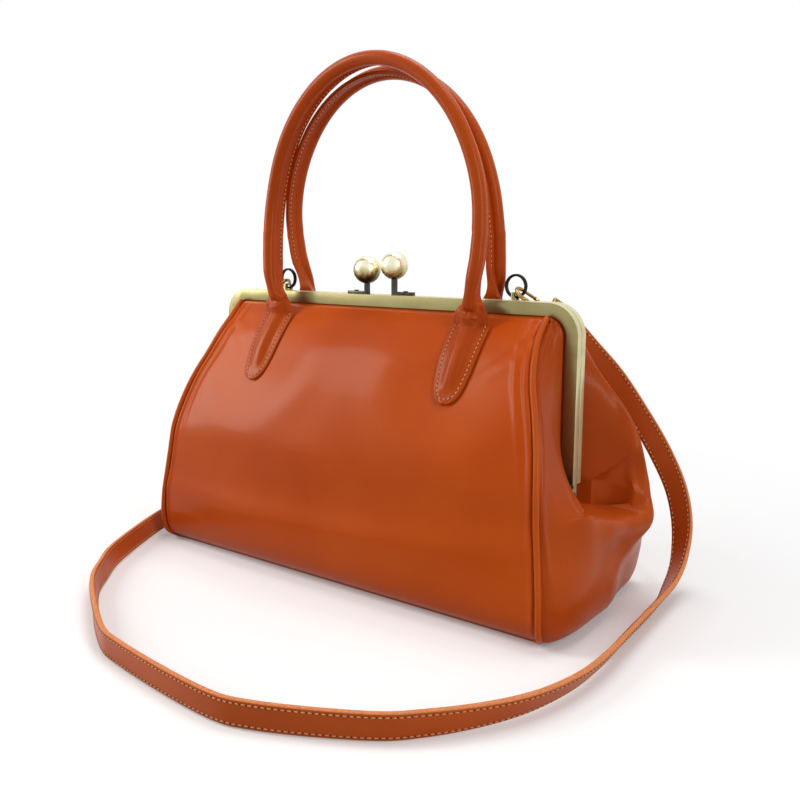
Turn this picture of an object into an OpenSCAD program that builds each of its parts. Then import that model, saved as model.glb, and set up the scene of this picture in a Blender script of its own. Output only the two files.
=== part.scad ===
// Kiss lock frame purse with rolled handles and a shoulder strap
// Lengths in mm, Z up, origin on the floor under the middle of the bag, front faces -Y
// Soft pieces are thin closed solids laid along the seam lines of the bag

/* [Frame] */
// Width over the outside of the frame legs
frame_w = 300; // [294:1:306]
// Height of the top of the frame above the floor
frame_top = 191.4; // [188:0.2:195]
// Front to back depth of one channel half
half_d = 5.4; // [5.2:0.1:6]
// Height of the channel face
face_h = 8; // [7:0.2:9]
// Outside corner radius of the frame
corner_r = 20; // [17:0.5:23]
// Wall of the folded channel
channel_t = 1.1; // [0.9:0.05:1.2]
// Height of the hinge axis above the floor
hinge_z = 73; // [71:0.5:75]
// Radius of the hinge lugs
lug_r = 4.5; // [4:0.1:4.8]
// Thickness of each hinge lug
lug_t = 2.6; // [2.2:0.1:2.8]
// Diameter of the hinge rivet shank
rivet_d = 2.5; // [2:0.1:3]

/* [Clasp] */
// Diameter of each clasp ball
ball_d = 19; // [17:0.25:19.25]
// Height of the front ball centre above the frame top
front_ball_rise = 16.9; // [15:0.1:19]
// Height of the back ball centre above the frame top
back_ball_rise = 19.9; // [17:0.1:22]
// Front ball centre, distance left of the middle
front_ball_x = 11.7; // [11.7:0.1:14]
// Back ball centre, distance right of the middle
back_ball_x = 7.9; // [7.9:0.1:10]
// Thickness of the bent clasp bars
bar_t = 2.2; // [1.8:0.1:2.6]
// Width of the bent clasp bars
bar_w = 4.4; // [3.6:0.1:4.8]
// Length of each bar foot past its stem
foot_len = 16; // [13:0.5:19]
// Diameter of the clasp rivets
pin_d = 2; // [1.6:0.1:2.4]

/* [Leather] */
// Thickness of the panel leather
leather_t = 1.5; // [1.2:0.05:1.7]
// Half depth of the base between the bottom seams
base_half_d = 56.3; // [54:0.5:58]
// Half depth of the belly at its fullest
belly_half_d = 68.5; // [66:0.5:70]
// Fullness of a panel in its middle past its seams
panel_full = 4; // [2:0.25:5]
// How far the gusset ears stand out past the frame legs
ear_out = 38; // [35:0.5:39]
// Half distance between the two ears of a gusset
ear_y = 30; // [27:0.5:33]
// Diameter of the seam piping
piping_d = 3.8; // [3.2:0.1:4]
// Thickness of the lining cloth
lining_t = 0.8; // [0.6:0.05:1]
// Thickness of the base board
board_t = 2; // [1.5:0.1:2.4]
// Thickness of the base leather
base_t = 1.8; // [1.4:0.1:2]

/* [Handles] */
// Distance of a handle leg from the middle
handle_x = 88.8; // [87:0.2:90]
// Outside diameter of a rolled handle
handle_d = 9.5; // [9:0.1:9.8]
// Diameter of the rope core
core_d = 6; // [5:0.1:6.6]
// Reach of the sewn flange from the handle centre
flange_reach = 11; // [8:0.25:11.25]
// Thickness of the sewn flange
flange_t = 2.6; // [2:0.1:2.8]
// Height of the front handle arch above its springing
front_arch_h = 109; // [106:0.5:114]
// Height of the back handle arch above its springing
back_arch_h = 103; // [98:0.5:104]
// Height where the arches spring
spring_z = 235; // [232:0.5:238]
// Width of a handle tab at its top
tab_w = 27; // [24:0.5:28]
// Height of the tip of a handle tab
tab_tip_z = 131; // [128:0.5:136]
// Thickness of the tab edge
tab_t = 2.2; // [1.8:0.1:2.6]

/* [Strap and hardware] */
// Width of the shoulder strap
strap_w = 14.6; // [13:0.1:15]
// Thickness of the shoulder strap
strap_t = 3.2; // [2.6:0.1:3.4]
// Split ring radius to the middle of its wire
ring_r = 6.95; // [6.6:0.05:7.1]
// Wire diameter of the split ring
ring_wire = 1.6; // [1.3:0.05:1.7]
// Bar diameter of the snap hook
hook_bar = 2.5; // [2.2:0.1:2.7]
// Inside half width of the snap hook
hook_half = 4.9; // [4.8:0.05:5.3]
// Distance of a ring eye from the middle
eye_x = 99; // [98.8:0.1:102]

/* [Hidden] */
gap = 0.3;
seat = 0.2;
leg_out = frame_w / 2;
leg_in = leg_out - face_h;
inner_top = frame_top - face_h;
inner_r = corner_r - face_h;
slot_y0 = gap / 2 + channel_t;
slot_y1 = half_d - channel_t;
leg_foot = hinge_z + lug_r + 3.5;
slot_foot = leg_foot + 4;
lip_y = slot_y0 + leather_t + 0.5;
lip_z = inner_top - 0.4;
pr = piping_d / 2;
seam_off = pr + 0.3;
neck_low = 193;
neck_high = 209;
hr = handle_d / 2;

function mixv(a, b, t) = a + (b - a) * t;
function unit(v) = v / max(norm(v), 0.000001);
function flat(g) = [for (row = g) for (p = row) p];
function turned(faces) = [for (f = faces) [f[2], f[1], f[0]]];
function height(k) = k <= 73 ? k * hinge_z / 73 : hinge_z + (k - 73) * (lip_z - hinge_z) / 110;
function mark(z) = z <= hinge_z ? z * 73 / hinge_z : 73 + (z - hinge_z) * 110 / (lip_z - hinge_z);

// Seam line of a panel by height, as steps in from the leg and shares of the belly
SEAM_OUT = [[0, 9.6], [7, 10.7], [25, 11.5], [40, 10.4], [54, 8.6], [73, 6], [90, 4.2], [110, 0.4],
  [131, -6.1], [145, -11.8], [160, 4 - corner_r], [171, 1.6 - corner_r], [183, 1 - corner_r]];
BELLY = [[25, 1], [40, 0.985], [54, 0.955], [73, 0.915], [90, 0.872], [110, 0.765], [131, 0.618],
  [145, 0.495], [160, 0.347], [171, 0.2], [175, 0.14], [178, 0.09], [183, 0]];
LOW = [[0, 0], [1.5, 0.25], [4, 0.5], [8, 0.74], [14, 0.92], [25, 1]];
FULL = [[0, 0], [8, 0.3], [25, 0.8], [60, 1], [131, 1], [150, 0.75], [168, 0.3], [180, 0]];
top_y = 8;
function seam_x(k) = leg_out + lookup(k, SEAM_OUT);
function seam_y(k) = k <= 25 ? mixv(base_half_d, belly_half_d, lookup(k, LOW))
  : mixv(top_y, belly_half_d, lookup(k, BELLY));
function panel_y(u, k) = seam_y(k) + panel_full * (1 - u * u) * lookup(k, FULL);

function sheet_normals(g) = let(n = len(g), m = len(g[0])) [for (i = [0:n - 1]) [for (j = [0:m - 1])
  let(a = g[min(i + 1, n - 1)][j] - g[max(i - 1, 0)][j],
      b = g[i][min(j + 1, m - 1)] - g[i][max(j - 1, 0)]) unit(cross(a, b))]];

// Thin solid from a grid of points, its thickness laid off along the grid normals
module sheet(g, t) {
  n = len(g);
  m = len(g[0]);
  nn = sheet_normals(g);
  inner = [for (i = [0:n - 1]) for (j = [0:m - 1]) g[i][j] + nn[i][j] * t];
  c = n * m;
  top = flat([for (i = [0:n - 2]) flat([for (j = [0:m - 2]) let(p = i * m + j)
    [[p, p + m, p + m + 1], [p, p + m + 1, p + 1]]])]);
  low = [for (f = top) [f[2] + c, f[1] + c, f[0] + c]];
  end = (n - 1) * m;
  rim = concat([for (j = [0:m - 2]) [j, j + 1]], [for (i = [0:n - 2]) [i * m + m - 1, (i + 1) * m + m - 1]],
    [for (j = [m - 2:-1:0]) [end + j + 1, end + j]], [for (i = [n - 2:-1:0]) [(i + 1) * m, i * m]]);
  side = flat([for (e = rim) [[e[0], e[1], e[1] + c], [e[0], e[1] + c, e[0] + c]]]);
  all = concat(top, low, side);
  polyhedron(points = concat(flat(g), inner), faces = t > 0 ? all : turned(all), convexity = 8);
}

// Solid through a list of equal rings
module loft(rings) {
  n = len(rings);
  m = len(rings[0]);
  side = flat([for (i = [0:n - 2]) flat([for (j = [0:m - 1]) let(a = i * m + j, b = i * m + (j + 1) % m)
    [[a, b, b + m], [a, b + m, a + m]]])]);
  last = (n - 1) * m;
  caps = concat([for (j = [1:m - 2]) [0, j + 1, j]], [for (j = [1:m - 2]) [last, last + j, last + j + 1]]);
  polyhedron(points = flat(rings), faces = turned(concat(side, caps)), convexity = 8);
}

// Hollow solid between two equal lists of rings
module tube(outer, inner) {
  n = len(outer);
  m = len(outer[0]);
  c = n * m;
  side = flat([for (i = [0:n - 2]) flat([for (j = [0:m - 1]) let(a = i * m + j, b = i * m + (j + 1) % m)
    [[a, b, b + m], [a, b + m, a + m], [c + b + m, c + b, c + a], [c + a + m, c + b + m, c + a]]])]);
  last = (n - 1) * m;
  caps = flat([for (j = [0:m - 1]) let(k = (j + 1) % m, a = last + j, b = last + k)
    [[c + j, c + k, k], [c + j, k, j], [b, c + b, c + a], [a, b, c + a]]]);
  polyhedron(points = concat(flat(outer), flat(inner)), faces = turned(concat(side, caps)), convexity = 8);
}

// Smooth route through chosen points, with steps points to a span
function smooth(p, steps) = let(n = len(p)) [for (i = [0:n - 2]) for (s = [0:(i == n - 2 ? steps : steps - 1)])
  let(t = s / steps, a = p[max(i - 1, 0)], b = p[i], c = p[i + 1], d = p[min(i + 2, n - 1)])
  0.5 * (2 * b + (c - a) * t + (2 * a - 5 * b + 4 * c - d) * t * t + (3 * b - a - 3 * c + d) * t * t * t)];
function tangent(p, i) = unit(p[min(i + 1, len(p) - 1)] - p[max(i - 1, 0)]);
// Rings of a section along a route, the section's first axis kept near the side vectors
function rings_of(p, sides, sec) = [for (i = [0:len(p) - 1]) let(t = tangent(p, i),
  s = unit(sides[i] - t * (sides[i] * t)), o = cross(t, s)) [for (q = sec) p[i] + s * q[0] + o * q[1]]];
function round_sec(r, k) = [for (i = [0:k - 1]) [r * cos((i + 0.5) * 360 / k), r * sin((i + 0.5) * 360 / k)]];
module pipe(p, side, r, k) { loft(rings_of(p, [for (q = p) side], round_sec(r, k))); }

module arch2d(hw, top, r, foot) {
  translate([-hw, foot]) square([2 * hw, top - r - foot]);
  translate([-hw + r, top - r - 1]) square([2 * (hw - r), r + 1]);
  for (s = [-1, 1]) translate([s * (hw - r), top - r]) circle(r = r, $fn = 48);
}
module upright(y0, y1) { translate([0, y1, 0]) rotate([90, 0, 0]) linear_extrude(y1 - y0) children(); }

// One channel half, made as the back one
module channel_half() {
  difference() {
    upright(gap / 2, half_d) difference() {
      arch2d(leg_out, frame_top, corner_r, leg_foot);
      arch2d(leg_in, inner_top, inner_r, leg_foot - 10);
    }
    upright(slot_y0, slot_y1) difference() {
      arch2d(leg_out - channel_t, frame_top - channel_t, corner_r - channel_t, slot_foot);
      translate([-leg_out, 0]) square([2 * leg_out, slot_foot]);
    }
  }
}
module lug(x0, x1, bore) {
  for (s = [0, 1]) mirror([s, 0, 0]) difference() {
    union() {
      translate([x0, 0, hinge_z]) rotate([0, 90, 0]) cylinder(r = lug_r, h = x1 - x0, $fn = 32);
      translate([x0, gap / 2, hinge_z]) cube([x1 - x0, lug_r - gap / 2, lug_r + 6]);
    }
    translate([x0 - 1, 0, hinge_z]) rotate([0, 90, 0]) cylinder(r = bore, h = x1 - x0 + 2, $fn = 32);
  }
}

lug_in = leg_in + 0.4;
lug_mid = lug_in + lug_t;
lug_back = lug_mid + gap;
lug_out = lug_back + lug_t;
bar_y = (gap / 2 + half_d) / 2;
front_pin_x = -front_ball_x - foot_len * 0.6;
back_pin_x = back_ball_x + foot_len * 0.6;
pin_low = frame_top - channel_t;

module pin_hole(x) { translate([x, bar_y, pin_low - 1]) cylinder(d = pin_d - 0.02, h = 9, $fn = 24); }
module front_frame() {
  color([0.6, 0.56, 0.42]) mirror([0, 1, 0]) difference() {
    union() {
      channel_half();
      lug(lug_in, lug_mid, rivet_d / 2 + 0.05);
    }
    pin_hole(front_pin_x);
  }
}
module back_frame() {
  color([0.58, 0.54, 0.4]) difference() {
    union() {
      channel_half();
      lug(lug_back, lug_out, rivet_d / 2 - 0.01);
    }
    pin_hole(back_pin_x);
  }
}
module hinge_rivet() {
  translate([lug_in - gap - 0.8, 0, hinge_z]) rotate([0, 90, 0]) {
    cylinder(r = rivet_d / 2 + 0.9, h = 0.8, $fn = 32);
    cylinder(d = rivet_d, h = lug_out - lug_in + gap + 1, $fn = 32);
    translate([0, 0, lug_out - lug_in + gap + 0.8]) cylinder(r = rivet_d / 2 + 0.9, h = 0.8, $fn = 32);
  }
}
module hinge_rivet_right() { color([0.5, 0.46, 0.34]) hinge_rivet(); }
module hinge_rivet_left() { color([0.5, 0.46, 0.34]) mirror([1, 0, 0]) hinge_rivet(); }

// Bent bar that carries a ball, its foot lying on the frame top towards +X
module clasp_arm(x, rise) {
  y0 = bar_y - bar_w / 2;
  difference() {
    union() {
      translate([x - bar_t / 2, y0, frame_top]) cube([bar_t / 2 + foot_len, bar_w, bar_t]);
      translate([x - bar_t / 2, y0, frame_top]) cube([bar_t, bar_w, rise - ball_d / 4]);
    }
    pin_hole(x + foot_len * 0.6);
  }
}
module clasp_ball(x, rise) {
  difference() {
    translate([x, bar_y, frame_top + rise]) sphere(d = ball_d, $fn = 32);
    translate([x - bar_t / 2, bar_y - bar_w / 2, frame_top]) cube([bar_t, bar_w, rise - ball_d / 4]);
  }
}
module clasp_pin(x) {
  translate([x, bar_y, pin_low]) cylinder(d = pin_d, h = channel_t + bar_t + 0.2, $fn = 24);
  translate([x, bar_y, frame_top + bar_t]) cylinder(d = pin_d + 1.2, h = 0.7, $fn = 24);
}
module to_front() { mirror([0, 1, 0]) mirror([1, 0, 0]) children(); }
module front_clasp_arm() { color([0.3, 0.27, 0.22]) to_front() clasp_arm(front_ball_x, front_ball_rise); }
module back_clasp_arm() { color([0.3, 0.27, 0.22]) clasp_arm(back_ball_x, back_ball_rise); }
module front_clasp_ball() { color([0.6, 0.52, 0.34]) to_front() clasp_ball(front_ball_x, front_ball_rise); }
module back_clasp_ball() { color([0.6, 0.52, 0.34]) clasp_ball(back_ball_x, back_ball_rise); }
module front_clasp_pin() { color([0.3, 0.27, 0.22]) mirror([0, 1, 0]) clasp_pin(front_pin_x); }
module back_clasp_pin() { color([0.3, 0.27, 0.22]) clasp_pin(back_pin_x); }

// Flat strip that packs the leather into a channel
module packing() {
  color([0.75, 0.68, 0.55]) upright(slot_y1 - 0.7, slot_y1 - 0.1) difference() {
    arch2d(leg_out - channel_t - 0.3, frame_top - channel_t - 0.3, corner_r - channel_t, slot_foot + 0.6);
    arch2d(leg_in + 1, inner_top + 1, inner_r, slot_foot - 9);
  }
}
module back_packing() { packing(); }
module front_packing() { mirror([0, 1, 0]) packing(); }

// Panel rows by height mark, each with its reach to both seams, made as the back one
COLS = [for (j = [-9:9]) j / 9];
function panel_row(k, reach) = [for (u = COLS) [u * reach, panel_y(u, k), height(k)]];
function panel_part(marks) = [for (k = marks) panel_row(k, seam_x(k) - seam_off)];
foot_rows = [
  [for (u = COLS) [u * (leg_out - 1), base_half_d + pr + 0.7, pr + 0.5]],
  [for (u = COLS) [u * (leg_out + 5), base_half_d + pr + 2.7, pr + 1.7]],
  panel_row(8, seam_x(8) - seam_off)];
lip_reach = leg_out - corner_r - 1.2;
lip_rows = [
  [for (u = COLS) [u * lip_reach, top_y - 2.6, lip_z - 1.6]],
  [for (u = COLS) [u * lip_reach, lip_y + 0.4, lip_z - 0.5]],
  [for (u = COLS) [u * lip_reach, lip_y, inner_top + 0.6]],
  [for (u = COLS) [u * lip_reach, lip_y, inner_top + 5]]];
lower_marks = [14, 25, 40, 55, 72.6];
flex_marks = [73, 85, 97, 109, 120, 130.6];
upper_marks = [131, 138, 146, 154, 162, 169, 175, 179.5];
back_marks = concat(lower_marks, [80, 92, 104, 116, 128, 138, 146, 154, 162, 169, 175, 179.5]);
module back_panel() {
  color([0.72, 0.32, 0.12]) sheet(concat(foot_rows, panel_part(back_marks), lip_rows), -leather_t);
}
module front_panel_lower() {
  color([0.72, 0.32, 0.12]) mirror([0, 1, 0]) sheet(concat(foot_rows, panel_part(lower_marks)), -leather_t);
}
module front_panel_fold() {
  color([0.7, 0.31, 0.12]) mirror([0, 1, 0]) sheet(panel_part(flex_marks), -leather_t);
}
module front_panel_upper() {
  color([0.72, 0.32, 0.12]) mirror([0, 1, 0]) sheet(concat(panel_part(upper_marks), lip_rows), -leather_t);
}

// Inside corner of the arch by row: a point on the inner edge and the way into the slot
TURN = [90, 68, 45, 22, 0];
LEG = [163, 153, 143, 133, 122, 111, 100, 91];
function edge_at(i) = i < 5
  ? let(c = cos(TURN[i]), s = sin(TURN[i]))
    [leg_in - inner_r + inner_r * c, inner_top - inner_r + inner_r * s, c, s]
  : i < 13 ? [leg_in, height(LEG[i - 5]), 1, 0] : [leg_in, slot_foot + 0.6, 1, 0];
RIDGE = [[0.36, 9.2, 180.4], [0.42, 13, 177.5], [0.46, 16, 173], [0.485, 18.5, 168], [0.52, 20.5, 161],
  [0.59, 22.5, 152], [0.67, 24.5, 142], [0.745, 26, 132], [0.81, 27.3, 122], [0.865, 28.3, 112],
  [0.905, 29.2, 101], [0.935, 29.8, 90], [0.975, 30, 80], [0.99, 30, 73]];
ridge_x0 = leg_out - 33;
// Ridge of the front folds, which lie flatter: steps out from the leg, depth, height mark
FRONT_RIDGE = [[-15, 8.4, 180.6], [-14, 10.6, 177.5], [-12.8, 13.4, 173], [-12.5, 16, 168], [-12, 19, 161],
  [-10.5, 24, 152], [-8, 30, 142], [-5, 32.5, 132], [-2, 33, 122], [0.5, 32, 112], [3.5, 30.5, 101], [8, 29.5, 90],
  [15, 29, 80], [24, 28.5, 73]];
SEAM_Z = [179, 176.5, 172.5, 167, 160, 151, 141.5, 132, 122, 112, 101, 90, 80, 73];
function seam_pt(k, front) = [seam_x(k) + seam_off + (front ? 1.4 : 0.2), seam_y(k) - (front ? 1.7 : 1), height(k)];
function back_ridge(i) = [mixv(ridge_x0, leg_out + ear_out, RIDGE[i][0] * RIDGE[i][0] * 0.5 + RIDGE[i][0] * 0.5),
  RIDGE[i][1] * ear_y / 30, height(RIDGE[i][2])];
function front_ridge(i) = let(q = FRONT_RIDGE[i]) [leg_out + q[0], q[1] * ear_y / 30, height(q[2])];
function ridge_pt(i, front) = front ? front_ridge(i) : back_ridge(i);
function bulge(a, b, t, h) = let(d = b - a, o = unit([-d[1], d[0], 0]))
  mixv(a, b, t) - o * (h * 4 * t * (1 - t) * norm(d));
function gusset_row(i, front) = let(e = edge_at(i), s = seam_pt(SEAM_Z[i], front), r = ridge_pt(i, front),
  h = front ? 0 : 0.1,
  f = [e[0] + e[2] * -0.5, half_d + 1.8, e[1] - e[3] * 0.5])
  [s, bulge(s, r, 0.35, h), bulge(s, r, 0.72, h), r, mixv(r, f, 0.2) - [0, 0.6, 0], mixv(r, f, 0.6), f,
  [e[0] - e[2] * 2, half_d - 0.6, e[1] - e[3] * 2],
  [e[0] + e[2] * 0.5, lip_y, e[1] + e[3] * 0.5], [e[0] + e[2] * 5, lip_y, e[1] + e[3] * 5]];
module upper_gusset(front) {
  color([0.66, 0.28, 0.1]) sheet([for (i = [13:-1:0]) gusset_row(i, front)], -leather_t);
}
module back_gusset_right() { upper_gusset(false); }
module back_gusset_left() { mirror([1, 0, 0]) upper_gusset(false); }
module front_gusset_right() { mirror([0, 1, 0]) upper_gusset(true); }
module front_gusset_left() { mirror([0, 1, 0]) mirror([1, 0, 0]) upper_gusset(true); }

// Lower gusset, one grid from the base up to the fold and in under the hinge
GC = [-1, -0.93, -0.82, -0.68, -0.56, -0.46, -0.36, -0.24, -0.12, 0,
  0.12, 0.24, 0.36, 0.46, 0.56, 0.68, 0.82, 0.93, 1];
MID = [[1.4, 14], [4, 21], [8, 25], [14, 26.5], [28, 26], [42, 25], [54, 27.5], [65, 31.5]];
RDG = [[1.4, 12], [4, 15.5], [8, 18], [14, 20], [28, 23.5], [42, 30], [54, 35], [65, 37.5]];
FRONT_RDG = [[1.4, 12], [4, 20], [8, 24.5], [14, 26.5], [28, 27], [42, 26.5], [54, 26.5], [65, 27]];
function low_x(c, k) = let(a = abs(c), q = 0.46, xm = leg_out + lookup(k, MID) + ear_out - 38,
  xr = leg_out + lookup(k, c < 0 ? FRONT_RDG : RDG) + ear_out - 38, xs = seam_x(k) + seam_off + 0.2)
  a < q ? mixv(xm, xr, a / q) : xs + (xr - xs) * sqrt(1 - pow((a - q) / (1 - q), 2));
function low_row(k) = [for (c = GC) [low_x(c, k), c * (seam_y(k) - 1.1), height(k)]];
foot_row = [for (c = GC) [leg_out + 9.3 + 6 * (1 - c * c), c * (base_half_d - 0.5), 0.4 + 1.2 * abs(c)]];
under_z = hinge_z - lug_r - 2;
function sgn(c) = c < 0 ? -1 : 1;
// Top edge of the lower gusset, which meets the lower edge of the two upper ones
function fold_pt(c) = let(a = abs(c), r = ridge_pt(13, c < 0), s = seam_pt(73, c < 0))
  a >= 0.46 ? let(p = bulge(s, r, (1 - a) / 0.54, c < 0 ? 0 : 0.1)) [p[0], p[1] * sgn(c), p[2] - 0.9]
  : a > 0.3 ? [mixv(leg_in - 2, r[0], 0.58), mixv(6, r[1], 0.62) * sgn(c), mixv(under_z, r[2], 0.78)]
  : a > 0.2 ? [mixv(leg_in - 2, r[0], 0.24), mixv(6, r[1], 0.28) * sgn(c), mixv(under_z, r[2], 0.5)]
  : [leg_in - 2, a / 0.12 * 6.5 * sgn(c), mixv(under_z, r[2], a)];
function fold_row(t) = let(low = low_row(65)) [for (j = [0:len(GC) - 1]) mixv(low[j], fold_pt(GC[j]), t)
  + [0, 0, (1 - t) * t * 6 * max(0, 1 - abs(GC[j]) * 1.6)]];
module lower_gusset() {
  color([0.66, 0.28, 0.1]) sheet(concat([foot_row], [for (k = [4, 8, 14, 28, 42, 54, 65]) low_row(k)],
    [for (t = [0.33, 0.66, 1]) fold_row(t)]), leather_t);
}
module lower_gusset_right() { lower_gusset(); }
module lower_gusset_left() { mirror([1, 0, 0]) lower_gusset(); }

// Base
module base_leather() {
  color([0.68, 0.3, 0.12]) linear_extrude(base_t) polygon(concat(
    [for (c = [-10:10]) [leg_out + 7.6 + 6 * (1 - c * c / 100), c / 10 * (base_half_d - pr - seat)]],
    [for (c = [10:-1:-10]) [-leg_out - 7.6 - 6 * (1 - c * c / 100), c / 10 * (base_half_d - pr - seat)]]));
}
module base_board() {
  color([0.55, 0.45, 0.33]) translate([-leg_out, -base_half_d + 6, base_t + 0.01])
    cube([2 * leg_out, 2 * base_half_d - 12, board_t]);
}

// Piping along the panel seams, made for the back
function pipe_pt(k) = [seam_x(k), seam_y(k), height(k)];
corner_pts = [[leg_out + 11, belly_half_d - 2.5, 8.5], [leg_out + 9.2, base_half_d + 4.2, 3.4],
  [leg_out + 4.5, base_half_d + 0.6, pr], [leg_out - 2, base_half_d, pr]];
u_marks = [14, 25, 40, 55, 72.6];
function flip_x(p) = [-p[0], p[1], p[2]];
function u_path(marks) = let(half = concat([for (i = [len(marks) - 1:-1:0]) pipe_pt(marks[i])], corner_pts))
  concat(half, [for (i = [len(half) - 1:-1:0]) flip_x(half[i])]);
top_marks = [138, 146, 154, 162, 169, 175, 179, 182];
module back_piping() {
  color([0.62, 0.27, 0.1]) pipe(u_path(concat(u_marks, [82, 94, 106, 118, 131], top_marks)), [0, 1, 0.2], pr, 8);
}
module front_piping_lower() {
  color([0.62, 0.27, 0.1]) mirror([0, 1, 0]) pipe(u_path(u_marks), [0, 1, 0.2], pr, 8);
}
module piping_part(marks) {
  color([0.62, 0.27, 0.1]) mirror([0, 1, 0]) pipe([for (k = marks) pipe_pt(k)], [1, 0, 0], pr, 8);
}
module front_piping_fold_right() { piping_part([73, 84, 96, 108, 120, 130.6]); }
module front_piping_fold_left() { mirror([1, 0, 0]) front_piping_fold_right(); }
module front_piping_upper_right() { piping_part(concat([131], top_marks)); }
module front_piping_upper_left() { mirror([1, 0, 0]) front_piping_upper_right(); }

// Lining: a tub in the lower bag and a sheet behind each panel
function tub_ring(z, dx, dy, k) = [for (i = [0:k - 1]) let(a = (i + 0.5) * 360 / k, c = cos(a), s = sin(a))
  [(leg_out - 6 - dx) * sgn(c) * pow(abs(c), 0.4), (seam_y(mark(z)) - 5 - dy) * sgn(s) * pow(abs(s), 0.4), z]];
tub_low = base_t + board_t + 0.3;
tub_high = under_z - 2.5;
module lining_tub() {
  color([0.35, 0.25, 0.16]) difference() {
    loft([for (z = [tub_low, 12, 25, 45, tub_high]) tub_ring(z, 0, 0, 28)]);
    loft([for (z = [tub_low + lining_t, 12, 25, 45, tub_high + 0.1]) tub_ring(z, lining_t, lining_t, 28)]);
  }
}
function slope(k) = norm([1, (panel_y(0, k + 3) - panel_y(0, k - 3)) / 6]);
function lining_row(k) = [for (u = COLS)
  [u * (seam_x(k) - 9), panel_y(u, k) - (leather_t + 0.4) * slope(k) - 0.2, height(k)]];
lining_marks = [132, 146, 158, 168, 174];
module back_lining() {
  color([0.35, 0.25, 0.16]) sheet([for (k = concat([70, 85, 100, 115], lining_marks)) lining_row(k)], -lining_t);
}
module front_lining() {
  color([0.35, 0.25, 0.16]) mirror([0, 1, 0]) sheet([for (k = lining_marks) lining_row(k)], -lining_t);
}

// Handle tabs, each lofted through level sections from its tip to its neck
tab_x = handle_x - 6;
function tab_back(k) = panel_y((tab_x - tab_w / 2) / seam_x(k), k) + 2 * seat;
TAB = [[0, 6, 0, 4], [1, 10.5, 0.05, 6], [3, 14, 0.1, 7.5], [7, 17.5, 0.6, 8], [14, 20.5, 1.6, 8.4],
  [24, 23.5, 3, 8.8], [34, 26, 4, 9.2], [41, 27, 4.8, 9.5]];
NECK = [[176, 27, 4.8, 9.5], [180, 26.4, 5, 9.6], [184, 23.6, 5.2, 9.8], [188, 19, 5.4, 10],
  [191, 15.6, 5.6, 10]];
function tab_half(w, e, h, rw) = [[w / 2, 0], [w / 2, e], [rw / 2, e + h * 0.25], [rw * 0.36, e + h * 0.75],
  [rw * 0.13, e + h]];
function tab_sec(x, y, z, w, e, h, rw) = let(half = tab_half(w, e, h, rw))
  concat([for (q = half) [x + q[0], y + q[1], z]], [for (i = [4:-1:0]) [x - half[i][0], y + half[i][1], z]]);
tab_top_y = tab_back(174);
function tab_rings(neck_y) = concat(
  [for (s = TAB) let(k = mark(tab_tip_z) + s[0])
    tab_sec(tab_x, tab_back(k), height(k), s[1] * tab_w / 27, tab_t * 1.25, s[2], s[3])],
  [for (s = NECK) let(q = (s[0] - 174) / 17) tab_sec(tab_x + q * q * 1.6, mixv(tab_top_y, neck_y - hr, q),
    height(s[0]), s[1] * tab_w / 27, tab_t * 1.25 + q * 1.2, s[2], s[3])],
  [tab_sec(tab_x + 1.9, neck_y - hr, neck_low, 12.5, 4.2, 5, 9.5)]);
front_neck_y = 22;
back_neck_y = 15.5;
module handle_tab(neck_y) { color([0.72, 0.32, 0.12]) loft(tab_rings(neck_y)); }
module front_tab_right() { mirror([0, 1, 0]) handle_tab(front_neck_y); }
module front_tab_left() { mirror([1, 0, 0]) front_tab_right(); }
module back_tab_right() { handle_tab(back_neck_y); }
module back_tab_left() { mirror([1, 0, 0]) back_tab_right(); }

// Handles: a straight part that leans, then a round arch; lean gives the depth by height
FRONT_LEAN = [[190, -22.3], [200, -22.2], [205, -22], [215, -20.7], [225, -19.6], [235, -18.7], [245, -17.9],
  [255, -17.2], [300, -17], [360, -17]];
BACK_LEAN = [[190, 15.6], [200, 14.4], [205, 13.2], [215, 10.5], [230, 8], [245, 5.8], [260, 4.8], [300, 4],
  [360, 3.4]];
FOOT = [[190, -5], [200, -2.9], [209, -1.5], [217, -0.5], [226, 0], [360, 0]];
function handle_pt(x, z, lean) = [x, lookup(z, lean), z];
function foot_pt(a, z, lean) = handle_pt(a + lookup(z, FOOT), z, lean);
function arch_path(a, rise, lean) = let(leg = [for (z = [neck_high, 217, 226]) foot_pt(a, z, lean)])
  concat(leg, [for (t = [0:9:180]) handle_pt(a * cos(t), spring_z + rise * sin(t), lean)],
  [for (i = [2:-1:0]) flip_x(leg[i])]);
function outward(p) = [for (i = [0:len(p) - 1]) let(t = tangent(p, i)) unit(cross([0, 1, 0], t))];

function cover_sec(r) = let(f0 = -0.2, f1 = -0.2 - flange_t) concat(
  [for (a = [0, 40, 70]) [r * cos(a), r * sin(a)]],
  [[f0, r], [f0, flange_reach], [f1, flange_reach], [f1, sqrt(r * r - f1 * f1)]],
  [for (a = [160:34:330]) [r * cos(a), r * sin(a)]]);
function mirror_sec(s) = [for (i = [len(s) - 1:-1:0]) [s[i][0], -s[i][1]]];
module cover(path, flip) {
  out = cover_sec(hr);
  n = len(out);
  bore = [for (i = [0:n - 1]) (core_d / 2 + 0.1) * [cos(i * 360 / n), sin(i * 360 / n)]];
  sides = outward(path);
  outer = flip ? mirror_sec(out) : out;
  inner = flip ? mirror_sec(bore) : bore;
  color([0.7, 0.31, 0.12]) tube(rings_of(path, sides, outer), rings_of(path, sides, inner));
}
module core(path) {
  inside = [for (i = [1:len(path) - 2]) path[i]];
  color([0.8, 0.74, 0.6]) loft(rings_of(inside, outward(inside), round_sec(core_d / 2, 8)));
}
back_x = handle_x - 2.5;
front_path = arch_path(handle_x, front_arch_h, FRONT_LEAN);
back_path = arch_path(back_x, back_arch_h, BACK_LEAN);
module front_handle_cover() { cover(front_path, false); }
module front_handle_core() { core(front_path); }
module back_handle_cover() { cover(back_path, true); }
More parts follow.
